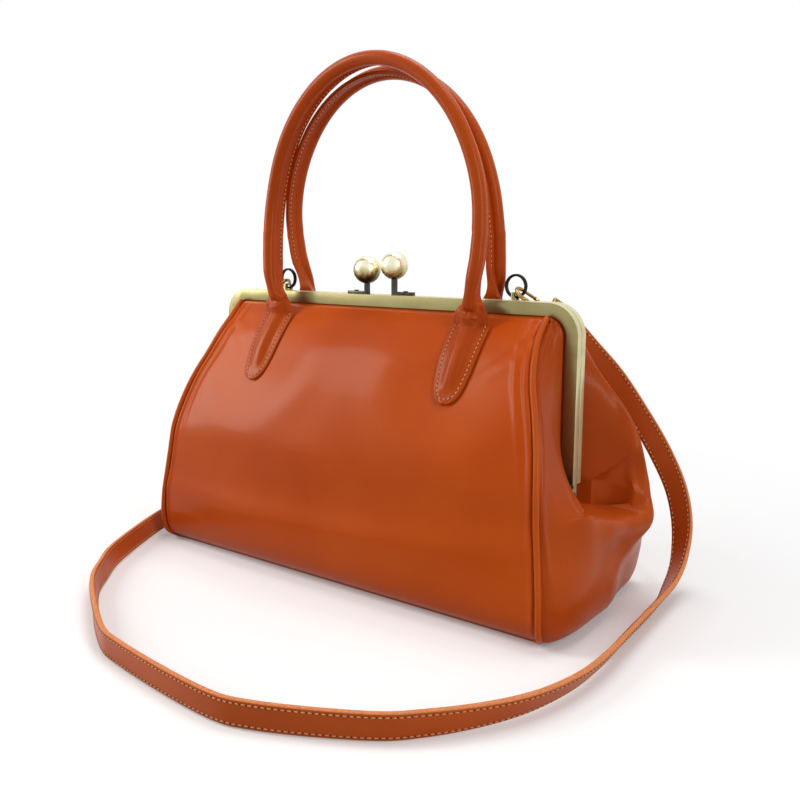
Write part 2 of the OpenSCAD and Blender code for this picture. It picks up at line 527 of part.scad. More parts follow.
module back_handle_core() { core(back_path); }

// Short soft necks between a tab and its handle
module neck(a, neck_y, lean) {
  foot = foot_pt(a, neck_high, lean);
  next = foot_pt(a, 217, lean);
  low = [tab_x + 1.9, neck_y, neck_low + seat];
  way = unit([next[0] - foot[0], abs(next[1]) - abs(foot[1]), next[2] - foot[2]]);
  high = [foot[0], abs(foot[1]), foot[2]] - way * 2 * seat;
  side = unit([1, 0, 0] - way * way[0]);
  out = cross(way, side);
  color([0.7, 0.31, 0.12]) loft([for (t = [0, 0.35, 0.7, 1])
    [for (q = round_sec(hr - 0.35, 12)) mixv(low + [q[0], q[1], 0], high + side * q[0] + out * q[1], t)]]);
}
module front_neck_right() { mirror([0, 1, 0]) neck(handle_x, front_neck_y, FRONT_LEAN); }
module front_neck_left() { mirror([1, 0, 0]) front_neck_right(); }
module back_neck_right() { neck(back_x, back_neck_y, BACK_LEAN); }
module back_neck_left() { mirror([1, 0, 0]) back_neck_right(); }

// Ring eyes on the back of the frame, split rings and snap hooks
ring_y = 10;
wire_step = ring_wire * 0.47;
eye_z = inner_top + 9.45;
ring_z = eye_z + ring_r;
eye_bore = ring_wire + 0.5;
module ring_eye() {
  difference() {
    union() {
      translate([eye_x - 4, half_d, inner_top + 1.4]) cube([8, 1.2, 5.4]);
      translate([eye_x - 1, half_d, eye_z - 3.2]) cube([2, ring_y - half_d, 6.4]);
      translate([eye_x - 1, ring_y, eye_z]) rotate([0, 90, 0]) cylinder(r = eye_bore + 1.3, h = 2, $fn = 32);
    }
    translate([eye_x - 2, ring_y, eye_z]) rotate([0, 90, 0]) cylinder(r = eye_bore, h = 4, $fn = 32);
  }
}
module split_ring() {
  translate([eye_x, ring_y, ring_z]) rotate([90, 0, 0]) rotate_extrude($fn = 40)
    for (s = [-1, 1]) translate([ring_r, s * wire_step]) circle(d = ring_wire, $fn = 12);
}
hook_w = [eye_x + ring_r * 0.7071, ring_y, ring_z - ring_r * 0.7071];
hook_p = unit([0.49, 0.7, -0.52]);
hook_q = unit(cross(hook_p, [1, 0, 1]));
hook_t = cross(hook_p, hook_q);
strap_up = unit([0, 0, 1] - hook_p * hook_p[2]);
strap_n = cross(hook_p, strap_up);
module placed(a, b, c) {
  multmatrix([for (i = [0:2]) [a[i], b[i], c[i], hook_w[i]]]) children();
}
hook_low = 10.2;
hook_end = hook_low + hook_half + hook_bar / 2;
barrel_l = 4;
gate_end = 8.9;
module rod(x0, x1, y, d) { translate([x0, y, 0]) rotate([0, 90, 0]) cylinder(d = d, h = x1 - x0, $fn = 16); }
module snap_hook() {
  placed(hook_p, hook_q, hook_t) {
    rotate([0, 0, 90]) rotate_extrude(angle = 180, $fn = 32)
      translate([hook_half, 0]) circle(d = hook_bar, $fn = 12);
    rod(-0.4, hook_low + 0.4, hook_half, hook_bar + 0.16);
    translate([hook_low, 0, 0]) rotate([0, 0, -90]) rotate_extrude(angle = 180, $fn = 32)
      translate([hook_half, 0]) circle(d = hook_bar, $fn = 12);
    rod(hook_low + hook_half - 0.3, hook_end + barrel_l + 2.6, 0, hook_bar);
    rod(hook_end + barrel_l + 2.4, hook_end + barrel_l + 3.2, 0, hook_bar + 1.6);
  }
}
module snap_gate() {
  placed(hook_p, hook_q, hook_t) {
    rod(1.3, gate_end, -hook_half, 2);
    for (x = [1.3, gate_end]) translate([x, -hook_half, 0]) sphere(d = 2, $fn = 16);
  }
}
loop_x = hook_end + barrel_l + 1;
loop_half = strap_w / 2 + 1.5;
bar_x = loop_x + 7.2;
module swivel() {
  placed(hook_p, strap_up, strap_n) difference() {
    union() {
      rod(hook_end + 0.25, hook_end + barrel_l, 0, hook_bar + 3);
      for (x = [loop_x, bar_x]) translate([x, -loop_half, 0]) rotate([-90, 0, 0])
        cylinder(d = 2.2, h = 2 * loop_half, $fn = 16);
      for (s = [-1, 1]) rod(loop_x, bar_x, s * loop_half, 2.2);
      for (x = [loop_x, bar_x]) for (s = [-1, 1]) translate([x, s * loop_half, 0]) sphere(d = 2.2, $fn = 16);
      rod(hook_end + 0.25, loop_x + 1.2, 0, hook_bar + 1.8);
    }
    rod(hook_end, loop_x + 2, 0, hook_bar + 0.1);
  }
}
module ring_eye_right() { color([0.5, 0.46, 0.34]) ring_eye(); }
module ring_eye_left() { color([0.5, 0.46, 0.34]) mirror([1, 0, 0]) ring_eye(); }
module split_ring_right() { color([0.16, 0.15, 0.14]) split_ring(); }
module split_ring_left() { color([0.16, 0.15, 0.14]) mirror([1, 0, 0]) split_ring(); }
module snap_hook_right() { color([0.62, 0.5, 0.28]) snap_hook(); }
module snap_hook_left() { color([0.62, 0.5, 0.28]) mirror([1, 0, 0]) snap_hook(); }
module hook_gate_right() { color([0.62, 0.5, 0.28]) snap_gate(); }
module hook_gate_left() { color([0.62, 0.5, 0.28]) mirror([1, 0, 0]) snap_gate(); }
module hook_swivel_right() { color([0.62, 0.5, 0.28]) swivel(); }
module hook_swivel_left() { color([0.62, 0.5, 0.28]) mirror([1, 0, 0]) swivel(); }

// Shoulder strap: chosen route points with the way its width faces at each
RISE = [
  [[124, 37, 173.5], [0.3, 0.4, 0.86]], [[134, 44, 160], [0.35, 0.3, 0.86]], [[149.5, 51, 141], [0.45, 0.2, 0.86]],
  [[164, 59, 117], [0.5, 0.1, 0.8]], [[176, 69, 92], [0.6, 0.1, 0.7]], [[185, 78, 66], [0.8, 0, 0.5]],
  [[190, 79, 42], [0.9, -0.1, 0.4]], [[193, 68, 22], [0.8, -0.2, 0.6]], [[194.5, 50, 11.5], [0.7, 0, 0.7]]];
RIGHT = [[[196, 26, 7.6], [0.55, 0, 0.83]], [[199, -36, 7.6], [0.55, 0, 0.83]],
  [[200.5, -68, 7.6], [0.55, -0.1, 0.83]], [[199, -98, 7.6], [0.5, -0.15, 0.84]], [[192, -127, 7.7], [0.4, -0.2, 0.88]],
  [[180, -151, 7.7], [0.25, -0.2, 0.94]]];
FRONT = [[[162, -175, 7.7], [0.1, -0.1, 0.98]], [[141, -194, 7.7], [0.05, -0.05, 1]],
  [[92, -219, 7.7], [0, 0, 1]], [[60, -224.5, 7.7], [0, 0, 1]],
  [[-12, -217.5, 7.7], [0, 0, 1]], [[-44, -208, 7.7], [0, 0, 1]],
  [[-101, -173, 7.7], [-0.1, -0.1, 0.98]], [[-128, -147, 7.7], [-0.2, -0.15, 0.96]]];
LEFT = [[[-151, -118, 7.7], [-0.25, -0.15, 0.94]],
  [[-185, -54, 7.7], [-0.35, 0, 0.92]], [[-194, -20, 7.6], [-0.45, 0, 0.88]], [[-196, 14, 7.6], [-0.5, 0, 0.86]]];
strap_start = [hook_w + hook_p * (bar_x - 1), strap_up];
function flip_pair(q) = [flip_x(q[0]), flip_x(q[1])];
strap_pairs = concat([strap_start, [hook_w + hook_p * (bar_x + 3), strap_up]], RISE, RIGHT, FRONT, LEFT,
  [for (i = [len(RISE) - 1:-1:0]) flip_pair(RISE[i])],
  [flip_pair([hook_w + hook_p * (bar_x + 3), strap_up]), flip_pair(strap_start)]);
strap_path = smooth([for (q = strap_pairs) q[0]], 2);
strap_sides = smooth([for (q = strap_pairs) q[1]], 2);
function strap_sec(w, t) = [[w / 2, -t / 4], [w / 2, t / 4], [w / 2 - t / 4, t / 2], [-w / 2 + t / 4, t / 2],
  [-w / 2, t / 4], [-w / 2, -t / 4], [-w / 2 + t / 4, -t / 2], [w / 2 - t / 4, -t / 2]];
module shoulder_strap() {
  color([0.7, 0.31, 0.12]) loft(rings_of(strap_path, strap_sides, strap_sec(strap_w, strap_t)));
}

front_frame();
back_frame();
hinge_rivet_right();
hinge_rivet_left();
front_clasp_arm();
back_clasp_arm();
front_clasp_ball();
back_clasp_ball();
front_clasp_pin();
back_clasp_pin();
front_packing();
back_packing();
back_panel();
front_panel_lower();
front_panel_fold();
front_panel_upper();
back_gusset_right();
back_gusset_left();
front_gusset_right();
front_gusset_left();
lower_gusset_right();
lower_gusset_left();
base_leather();
base_board();
back_piping();
front_piping_lower();
front_piping_fold_right();
front_piping_fold_left();
front_piping_upper_right();
front_piping_upper_left();
lining_tub();
back_lining();
front_lining();
front_tab_right();
front_tab_left();
back_tab_right();
back_tab_left();
front_handle_cover();
front_handle_core();
back_handle_cover();
back_handle_core();
front_neck_right();
front_neck_left();
back_neck_right();
back_neck_left();
ring_eye_right();
ring_eye_left();
split_ring_right();
split_ring_left();
snap_hook_right();
snap_hook_left();
hook_gate_right();
hook_gate_left();
hook_swivel_right();
hook_swivel_left();
shoulder_strap();
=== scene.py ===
# %% [markdown]
# # A kiss lock frame purse
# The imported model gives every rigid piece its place. This scene dresses it: smooth tan leather over the
# plain solids, antique brass on the frame, rolled handles, sewn tabs and a strap lying round the bag.

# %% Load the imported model
import bpy, math
import numpy as np
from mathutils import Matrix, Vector


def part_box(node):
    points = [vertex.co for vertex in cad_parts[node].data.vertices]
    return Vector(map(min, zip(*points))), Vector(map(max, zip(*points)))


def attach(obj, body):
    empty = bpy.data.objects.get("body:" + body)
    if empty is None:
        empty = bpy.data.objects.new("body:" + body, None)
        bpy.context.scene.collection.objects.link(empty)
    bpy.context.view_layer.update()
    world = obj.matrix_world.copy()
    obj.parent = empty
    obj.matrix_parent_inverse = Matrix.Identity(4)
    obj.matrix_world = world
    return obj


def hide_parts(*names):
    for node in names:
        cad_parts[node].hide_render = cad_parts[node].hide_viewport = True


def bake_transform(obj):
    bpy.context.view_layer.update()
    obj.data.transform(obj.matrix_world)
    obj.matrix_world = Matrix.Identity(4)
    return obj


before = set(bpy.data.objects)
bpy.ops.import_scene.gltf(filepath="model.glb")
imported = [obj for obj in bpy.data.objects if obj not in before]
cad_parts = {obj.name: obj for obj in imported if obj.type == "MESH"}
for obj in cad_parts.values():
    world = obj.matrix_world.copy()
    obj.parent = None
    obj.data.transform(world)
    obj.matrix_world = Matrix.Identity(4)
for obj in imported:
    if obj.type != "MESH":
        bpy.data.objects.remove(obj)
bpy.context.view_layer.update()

print("pieces in the packed model:", len(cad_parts))

# %% [markdown]
# ## The camera
# The view was found by fitting the straight frame and the upright legs: a little above the frame top,
# well round to the right, so one end of the bag shows. It comes first because the strap is laid for it.

# %% Camera at the fitted place
camera_data = bpy.data.cameras.new("camera")
camera_data.lens = 39.8
camera_data.sensor_width = 36
camera = bpy.data.objects.new("camera", camera_data)
camera.location = (0.377, -0.486, 0.228)
camera.rotation_euler = (math.radians(79.8), 0, math.radians(36.7))
bpy.context.scene.collection.objects.link(camera)
bpy.context.scene.camera = camera
bpy.context.scene.view_settings.view_transform = "Standard"
print("camera at", tuple(camera.location))

# %% [markdown]
# ## Small helpers
# Leather is cut flat and then held along its seams, so every soft piece here is a surface stretched over
# a few guide lines. One grid primitive is laid over the guides, and modifiers give it its thickness.

# %% Selecting, editing and applying
def only(obj):
    """Select this object and nothing else."""
    if bpy.context.object and bpy.context.object.mode != "OBJECT":
        bpy.ops.object.mode_set(mode="OBJECT")
    bpy.ops.object.select_all(action="DESELECT")
    obj.select_set(True)
    bpy.context.view_layer.objects.active = obj

def edit(obj, *steps):
    """Run mesh operators on the whole of an object, one after another."""
    only(obj)
    bpy.ops.object.mode_set(mode="EDIT")
    bpy.ops.mesh.select_all(action="SELECT")
    for step in steps:
        step()
    bpy.ops.object.mode_set(mode="OBJECT")
    return obj

def merge(distance):
    """An edit step that joins points closer than a distance in metres."""
    return lambda: bpy.ops.mesh.remove_doubles(threshold=distance)

def modify(obj, kind, **settings):
    """Add a modifier, set it and apply it."""
    only(obj)
    bpy.ops.object.modifier_add(type=kind)
    made = obj.modifiers[-1]
    for name, value in settings.items():
        setattr(made, name, value)
    bpy.ops.object.modifier_apply(modifier=made.name)
    return obj

def shade(obj, degrees):
    """Smooth shading, with edges sharper than an angle left crisp."""
    only(obj)
    bpy.ops.object.shade_smooth_by_angle(angle=math.radians(degrees))
    return obj

# %% Smooth lines through chosen points
def through(points, t):
    """Catmull-Rom curve through rows of numbers, at places counted in rows."""
    p = np.asarray(points, float)
    i = np.minimum(t.astype(int), len(p) - 2)
    f = (t - i).reshape((-1,) + (1,) * (p.ndim - 1))
    a, b, c, d = p[np.maximum(i - 1, 0)], p[i], p[i + 1], p[np.minimum(i + 2, len(p) - 1)]
    return 0.5 * (2 * b + (c - a) * f + (2 * a - 5 * b + 4 * c - d) * f**2 + (3 * b - a - 3 * c + d) * f**3)

def smooth(points, count):
    """A smooth line with a chosen number of points."""
    return through(points, np.linspace(0, len(points) - 1, count))

def spans(points, steps):
    """A smooth line with a chosen number of steps in each span."""
    t = [i + np.arange(n) / n for i, n in enumerate(steps)]
    return through(points, np.concatenate(t + [[len(points) - 1.0]]))

def unit(v):
    v = np.asarray(v, float)
    return v / np.maximum(np.linalg.norm(v, axis=-1, keepdims=True), 1e-9)

# %% A grid primitive laid over a net
def skin(name, points, closed=False):
    """Lay a grid over a net of points in mm. The grid's rows follow the net's rows."""
    rows, cols = points.shape[:2]
    bpy.ops.object.select_all(action="DESELECT")
    bpy.ops.mesh.primitive_grid_add(x_subdivisions=cols - 1, y_subdivisions=rows - 1, size=1)
    obj = bpy.context.object
    obj.name = obj.data.name = name
    obj.data.vertices.foreach_set("co", (points.reshape(-1, 3) / 1000).ravel())
    if closed:
        edit(obj, merge(0.000005))
    bpy.ops.object.shade_smooth()
    obj.data.update()
    return obj

def flip(obj):
    return edit(obj, bpy.ops.mesh.flip_normals)

def fill_ends(obj):
    """Close the open ends of a tube."""
    def face_outward():
        bpy.ops.mesh.select_all(action="SELECT")
        bpy.ops.mesh.normals_make_consistent(inside=False)
    return edit(obj, bpy.ops.mesh.region_to_loop, bpy.ops.mesh.fill, face_outward)

# %% Rings of a section along a line
def frames_along(line, sides):
    """Side and out vectors at each point of a line, the side kept near the given one."""
    line = np.asarray(line, float)
    tangent = unit(np.gradient(line, axis=0))
    side = unit(sides - tangent * np.sum(sides * tangent, axis=1, keepdims=True))
    return side, np.cross(tangent, side)

def rings(line, sides, sections):
    """Points of closed rings: sections is one outline or one per point, in mm, (side, out)."""
    side, out = frames_along(line, sides)
    sections = np.asarray(sections, float)
    if sections.ndim == 2:
        sections = np.repeat(sections[None], len(line), 0)
    sections = np.concatenate([sections, sections[:, :1]], 1)
    return line[:, None] + side[:, None] * sections[..., :1] + out[:, None] * sections[..., 1:]

# %% [markdown]
# ## The shoulder strap
# A flat strap of two layers, sewn along both edges. It is 1.2 m long and clipped to both ends of the
# rear frame. It drops behind the bag, stands on its edge on the table and runs round the front. A strap
# keeps its width, so its section is carried along the route and turned to face as the real one does.

# %% Strap route, as in the part's source
hook_at = np.array([103.914, 10, 194.886])
hook_way = np.array([0.489878, 0.699825, -0.51987])
strap_up = np.array([0.298126, 0.425894, 0.854245])
# each entry is a point of the centre line and the way the strap's width points there
rise = [[[124, 37, 173.5], [0.3, 0.4, 0.86]], [[134, 44, 160], [0.35, 0.3, 0.86]],
    [[149.5, 51, 141], [0.45, 0.2, 0.86]], [[164, 59, 117], [0.5, 0.1, 0.8]], [[176, 69, 92], [0.6, 0.1, 0.7]],
    [[185, 78, 66], [0.8, 0, 0.5]], [[190, 79, 42], [0.9, -0.1, 0.4]], [[193, 68, 22], [0.8, -0.2, 0.6]],
    [[194.5, 50, 11.5], [0.7, 0, 0.7]]]
round_right = [[[196, 26, 7.6], [0.55, 0, 0.83]], [[199, -36, 7.6], [0.55, 0, 0.83]],
    [[200.5, -68, 7.6], [0.55, -0.1, 0.83]], [[199, -98, 7.6], [0.5, -0.15, 0.84]],
    [[192, -127, 7.7], [0.4, -0.2, 0.88]], [[180, -151, 7.7], [0.25, -0.2, 0.94]]]
round_front = [[[162, -175, 7.7], [0.1, -0.1, 0.98]], [[141, -194, 7.7], [0.05, -0.05, 1]],
    [[92, -219, 7.7], [0, 0, 1]], [[60, -224.5, 7.7], [0, 0, 1]], [[-12, -217.5, 7.7], [0, 0, 1]],
    [[-44, -208, 7.7], [0, 0, 1]], [[-101, -173, 7.7], [-0.1, -0.1, 0.98]],
    [[-128, -147, 7.7], [-0.2, -0.15, 0.96]]]
round_left = [[[-151, -118, 7.7], [-0.25, -0.15, 0.94]], [[-185, -54, 7.7], [-0.35, 0, 0.92]],
    [[-194, -20, 7.6], [-0.45, 0, 0.88]], [[-196, 14, 7.6], [-0.5, 0, 0.86]]]
start = [[hook_at + hook_way * 27.55, strap_up], [hook_at + hook_way * 31.55, strap_up]]
mirrored = [[np.array(p) * [-1, 1, 1], np.array(w) * [-1, 1, 1]] for p, w in (rise[::-1] + start[::-1])]
route = start + rise + round_right + round_front + round_left + mirrored
strap_line = smooth([p for p, w in route], 430)
strap_side = smooth([w for p, w in route], 430)

# %% Strap body: two layers with a shallow groove between their edges
strap_w, strap_t = 14.6, 3.2

def strap_outline():
    """Outline of the strap, its long faces a little crowned and a groove along each cut edge."""
    w, t = strap_w, strap_t
    face = [[x * w / 2, (t / 2 - 0.28 * abs(x) ** 6)] for x in np.linspace(0.93, -0.93, 15)]
    edge = [[-w / 2 + 0.05, t / 2 - 0.62], [-w / 2, t / 4], [-w / 2 + 0.22, 0], [-w / 2, -t / 4],
        [-w / 2 + 0.05, -t / 2 + 0.62]]
    half = np.array(face + edge)
    return np.concatenate([half, -half])

strap = fill_ends(skin("strap_leather", rings(strap_line, strap_side, strap_outline()), closed=True))
print("strap faces:", len(strap.data.polygons))

# %% One stitch that is copied along a line
def bead_form():
    """Corners and faces of a small round form, taken from a sphere primitive."""
    bpy.ops.object.select_all(action="DESELECT")
    bpy.ops.mesh.primitive_uv_sphere_add(segments=6, ring_count=4, radius=0.5)
    one = bpy.context.object
    co = np.empty(len(one.data.vertices) * 3)
    one.data.vertices.foreach_get("co", co)
    faces = [list(p.vertices) for p in one.data.polygons]
    bpy.ops.object.delete()
    return co.reshape(-1, 3), faces

bead, bead_faces = bead_form()

def stitch_run(name, line, out, pitch=3.1, length=2.3, thick=0.75, lift=0.12):
    """Stitches along a line of points in mm, and the needle holes between them."""
    line, out = np.asarray(line, float), np.asarray(out, float)
    gone = np.concatenate([[0], np.cumsum(np.linalg.norm(np.diff(line, axis=0), axis=1))])
    at = np.arange(pitch / 2, gone[-1] - pitch / 2, pitch)
    def spot(s, p):
        return np.stack([np.interp(s, gone, p[:, i]) for i in range(3)], 1)
    made = []
    for part, shape, shift, drop in (("threads", (length, thick, thick * 0.8), 0, lift),
            ("holes", (0.85, 0.85, 0.5), pitch / 2, 0.02)):
        s = at + shift
        middle, n = spot(s, line), unit(spot(s, out))
        along = unit(spot(s + 0.3, line) - spot(s - 0.3, line))
        across = unit(np.cross(n, along))
        n = np.cross(along, across)
        co = (bead * shape)[None]
        points = (middle + n * drop)[:, None] + along[:, None] * co[..., :1] + across[:, None] * co[..., 1:2]
        points = points + n[:, None] * co[..., 2:]
        faces = [[v + i * len(bead) for v in f] for i in range(len(s)) for f in bead_faces]
        mesh = bpy.data.meshes.new(f"{name}_{part}")
        mesh.from_pydata((points.reshape(-1, 3) / 1000).tolist(), [], faces)
        obj = bpy.data.objects.new(mesh.name, mesh)
        bpy.context.scene.collection.objects.link(obj)
        only(obj)
        bpy.ops.object.shade_smooth()
        made.append(obj)
    return made

def join(objects, name):
    """Join pieces into the first one and give it a name."""
    bpy.ops.object.select_all(action="DESELECT")
    for obj in objects:
        obj.select_set(True)
    bpy.context.view_layer.objects.active = objects[0]
    bpy.ops.object.join()
    objects[0].name = objects[0].data.name = name
    return objects[0]

# %% [markdown]
# ## The shape of the bag in numbers
# A pattern cutter would draw the seam line of a panel first, then how full the panel stands between its
# seams. These tables do that by height in mm. Every soft piece that follows is laid over them.

# %% Reading a table smoothly
def lookup(x, table):
    """Smooth value of a table of pairs."""
    t = np.asarray(table, float)
    m = np.gradient(t[:, 1], t[:, 0])
    x = np.clip(x, t[0, 0], t[-1, 0])
    i = np.clip(np.searchsorted(t[:, 0], x, side="right") - 1, 0, len(t) - 2)
    h = t[i + 1, 0] - t[i, 0]
    s = (x - t[i, 0]) / h
    return ((2 * s**3 - 3 * s**2 + 1) * t[i, 1] + (s**3 - 2 * s**2 + s) * h * m[i]
        + (3 * s**2 - 2 * s**3) * t[i + 1, 1] + (s**3 - s**2) * h * m[i + 1])

# %% Seam line and fullness
# the frame: outside and inside of a leg, inside of the top, half its depth, and where the leather enters
leg_out, leg_in, inner_top, half_depth, lip_y = 150, 142, 183.4, 5.4, 3.25
# half the bag's depth at the base, at the belly and under the frame, then the piping's radius
base_half, belly_half, top_y, piping_r = 56.3, 68.5, 8, 1.9
seam_out = [[0, 9.6], [7, 10.7], [25, 11.5], [40, 10.4], [54, 8.6], [73, 6], [90, 4.2], [110, 0.4], [131, -6.1],
    [145, -11.8], [160, -16], [171, -18.4], [183, -19]]
belly_share = [[25, 1], [40, 0.985], [54, 0.955], [73, 0.915], [90, 0.872], [110, 0.765], [131, 0.618],
    [145, 0.495], [160, 0.347], [171, 0.2], [175, 0.14], [178, 0.09], [183, 0]]
low_share = [[0, 0], [1.5, 0.25], [4, 0.5], [8, 0.74], [14, 0.92], [25, 1]]
fullness = [[0, 0], [8, 0.3], [25, 0.8], [60, 1], [131, 1], [150, 0.75], [168, 0.3], [180, 0]]

def seam_x(z):
    return leg_out + lookup(z, seam_out)

def seam_y(z):
    low = base_half + (belly_half - base_half) * lookup(z, low_share)
    high = top_y + (belly_half - top_y) * lookup(z, belly_share)
    return np.where(np.asarray(z) <= 25, low, high)

def bump(x, middle, width):
    return np.exp(-((x - middle) / width) ** 2)

def smoothstep(t):
    t = np.clip(t, 0, 1)
    return t * t * (3 - 2 * t)

def panel_y(x, z):
    """How far the outside of a panel stands from the middle plane."""
    u = x / (seam_x(z) - 2.2)
    return seam_y(z) + 4 * (1 - u * u) * lookup(z, fullness)

# %% [markdown]
# ## Folds and dents in the leather
# The handles pull the panel in under their tabs, the frame gathers it at the top corners, and it rolls
# over before each seam. These are low swells of one or two millimetres, and they carry the highlights.

# %% Relief of a panel in mm
def relief(x, z, front=True):
    edge = seam_x(z) - 0.6 - np.abs(x)
    out = -3.4 * np.exp(-np.maximum(edge, 0) / 1.4) + 1.1 * bump(edge, 3.6, 1.9)
    out = out + smoothstep((z - 75) / 50) * (0.9 * bump(edge, 10.5, 2.2) - 0.7 * bump(edge, 7.2, 1.6))
    fade = np.clip((180 - z) / 10, 0, 1)
    for s in (-1, 1):
        # the dent under a tab, and the ring round it
        r = np.hypot((x - s * 84) / 1.1, (z - 148) * (1.0 if front else 1.2))
        out = out - 2.6 * np.exp(-(r / 24) ** 2) + 1.1 * bump(r, 47, 15) * np.clip((172 - z) / 20, 0, 1)
        # gathers that slant in from the frame's corner
        slant = (x * s - 118) * 0.62 - (z - 168) * 0.78
        along = (x * s - 118) * 0.78 + (z - 168) * 0.62
        gathers = 0.7 * bump(slant, 0, 3.5) + 0.5 * bump(slant, 9, 3.5) - 0.4 * bump(slant, 4.5, 2.2)
        out = out + gathers * bump(along, 6, 20) * fade
    out = out + 0.9 * bump(z, 42 + 0.00035 * (x + 60) ** 2, 9) - 0.7 * bump(z, 62, 14) * bump(x, -20, 110)
    out = out + 0.35 * np.sin(x / 13 + 0.6 * np.sin(x / 29)) * bump(z, 172, 9) * fade
    out = out + 0.25 * np.sin(x / 31 + z / 17 + 2) + 0.2 * np.sin(x / 19 - z / 27)
    return out * np.clip((z - 6) / 10, 0, 1) * np.clip((183 - z) / 5, 0, 1)

# %% [markdown]
# ## Front and back panels
# Each panel is one hide from the base seam up into the frame. A grid is laid over its surface, and
# Solidify gives the leather its thickness inwards, so the outside stays where it was drawn.

# %% Panel surface
def panel_points(front):
    cols = np.sin(np.linspace(-1, 1, 181) * np.pi / 2) * 0.35 + np.linspace(-1, 1, 181) * 0.65
    z = np.concatenate([np.linspace(8, 25, 14)[:-1], np.linspace(25, 176, 96)[:-1], np.linspace(176, 181, 8)])
    def row(zz):
        x = cols * (seam_x(zz) - 0.6)
        return np.stack([x, panel_y(x, zz) + relief(x, zz, front), np.full_like(x, zz)], 1)
    main = np.array([row(zz) for zz in z])
    # turned in at the base, and at the top into the frame's channel
    low = [[[c * 149, 58.9, 2.4] for c in cols], [[c * 155, 60.9, 3.6] for c in cols]]
    foot = smooth(np.array(low + [main[0], main[5]]), 25)[:16]
    into_frame = ((6.4, 182.3), (4.3, 183.1), (3.4, 184.4), (3.25, 188.2))
    lip = [[[c * 129.2, y, zz] for c in cols] for y, zz in into_frame]
    top = smooth(np.array([main[-4], main[-1]] + lip), 26)[6:]
    pts = np.concatenate([foot[:-1], main, top])
    if front:
        pts[..., 1] *= -1
    return pts

def thicken(obj, thickness=1.4):
    return shade(modify(obj, "SOLIDIFY", thickness=thickness / 1000, offset=-1), 40)

front_panel = thicken(skin("front_panel", panel_points(True)))
back_panel = thicken(flip(skin("back_panel", panel_points(False))))
print("panel faces:", len(front_panel.data.polygons))

# %% [markdown]
# ## Piping
# A thin leather roll is sewn between each panel and the gusset. It is a round tube along the seam line,
# down one side, along the base and up the other.

# %% Piping tubes
def circle(r, n):
    a = np.arange(n) * 2 * np.pi / n
    return np.stack([r * np.cos(a), r * np.sin(a)], 1)

def piping_line():
    z = np.array([182.4, 180, 176, 171, 165, 158, 150, 142, 133, 122, 111, 100, 90, 80, 72, 63, 55, 47,
        40, 32, 25, 19, 14])
    side = np.stack([seam_x(z), seam_y(z), z], 1)
    turn = np.array([[161, 66, 8.5], [159.2, 60.5, 3.7], [154.5, 57.1, 2.2], [147, 56.3, 2.0], [120, 56.3, 2.0]])
    half = np.concatenate([side, turn])
    return np.concatenate([half, half[::-1] * [-1, 1, 1]])

def piping(name, front):
    line = smooth(piping_line(), 420) * ([1, -1, 1] if front else [1, 1, 1])
    hint = np.repeat([[0.0, 1.0, 0.15]], len(line), 0)
    return fill_ends(skin(name, rings(line, hint, circle(piping_r, 14)), closed=True))

front_piping, back_piping = piping("front_piping", True), piping("back_piping", False)
print("piping faces:", len(front_piping.data.polygons))

# %% [markdown]
# ## Gussets
# A frame bag folds in at its ends: the gusset runs from each piped seam out to a soft ear and back in to
# the frame leg, and below the hinge the two folds become one rounded end. All of it is drawn as one
# surface, then cut where the front half opens, so its shading stays whole.

# %% Rows of the upper gusset, from the frame corner down to the hinge
back_ridge = [[133.2, 10, 181], [138.2, 13, 177.5], [140.8, 16, 173], [142.6, 18.5, 168], [145.1, 20.5, 161],
    [150.3, 22.5, 152], [156.7, 24.5, 142], [163.2, 26, 132], [169, 27.3, 122], [174.3, 28.3, 112],
    [178.2, 29.2, 101], [181.2, 29.8, 90], [185.4, 30, 80], [187.5, 30, 73]]
front_ridge = [[134.4, 9, 181], [136, 10.6, 177.5], [137.2, 13.4, 173], [137.5, 16, 168], [138, 19, 161],
    [139.5, 24, 152], [142, 30, 142], [145, 32.5, 132], [148, 33, 122], [150.5, 32, 112], [153.5, 30.5, 101],
    [158, 29.5, 90], [164.6, 29, 80], [171.5, 28.7, 73.4]]
seam_rows = [179, 176.5, 172.5, 167, 160, 151, 141.5, 132, 122, 112, 101, 90, 80, 73]
corner_turn, leg_rows = [90, 68, 45, 22, 0], [163, 153, 143, 133, 122, 111, 100, 91, 85.6]
inner_r = 12
strip_share = np.concatenate([np.linspace(0, 0.14, 12)[:-1], np.linspace(0.14, 0.8, 14)[:-1],
    np.linspace(0.8, 1, 6)])

def fuller(ridge):
    """The ridge of the back fold stands further out towards its foot."""
    r = np.array(ridge, float)
    r[:, :2] += np.array([3.4, 1.6]) * smoothstep((150 - r[:, 2:]) / 30)
    return r

def leg_edge(i):
    """Inner edge of the frame at row i, round its corner and then down the leg, with the way outwards."""
    if i < len(corner_turn):
        c, s = math.cos(math.radians(corner_turn[i])), math.sin(math.radians(corner_turn[i]))
        return leg_in - inner_r + inner_r * c, inner_top - inner_r + inner_r * s, c, s
    return leg_in, leg_rows[i - len(corner_turn)], 1, 0

def seam_strip(a, r, sag):
    """Leather from a seam point to a ridge point: it rolls over the seam, then sags a little."""
    d = r - a
    length = np.linalg.norm(d)
    out = np.array([-d[1], d[0], 0]) / math.hypot(d[0], d[1])
    t = strip_share[:, None]
    s = t * length
    roll = 1.3 * np.exp(-((s - 3.4) / 1.6) ** 2) - 2.6 * np.exp(-s / 1.2)
    return a + d * t + out * (roll - sag * 4 * t * (1 - t) * length)

def seam_point(z):
    return np.array([seam_x(z) + 1.5, seam_y(z) - 0.6, z], float)

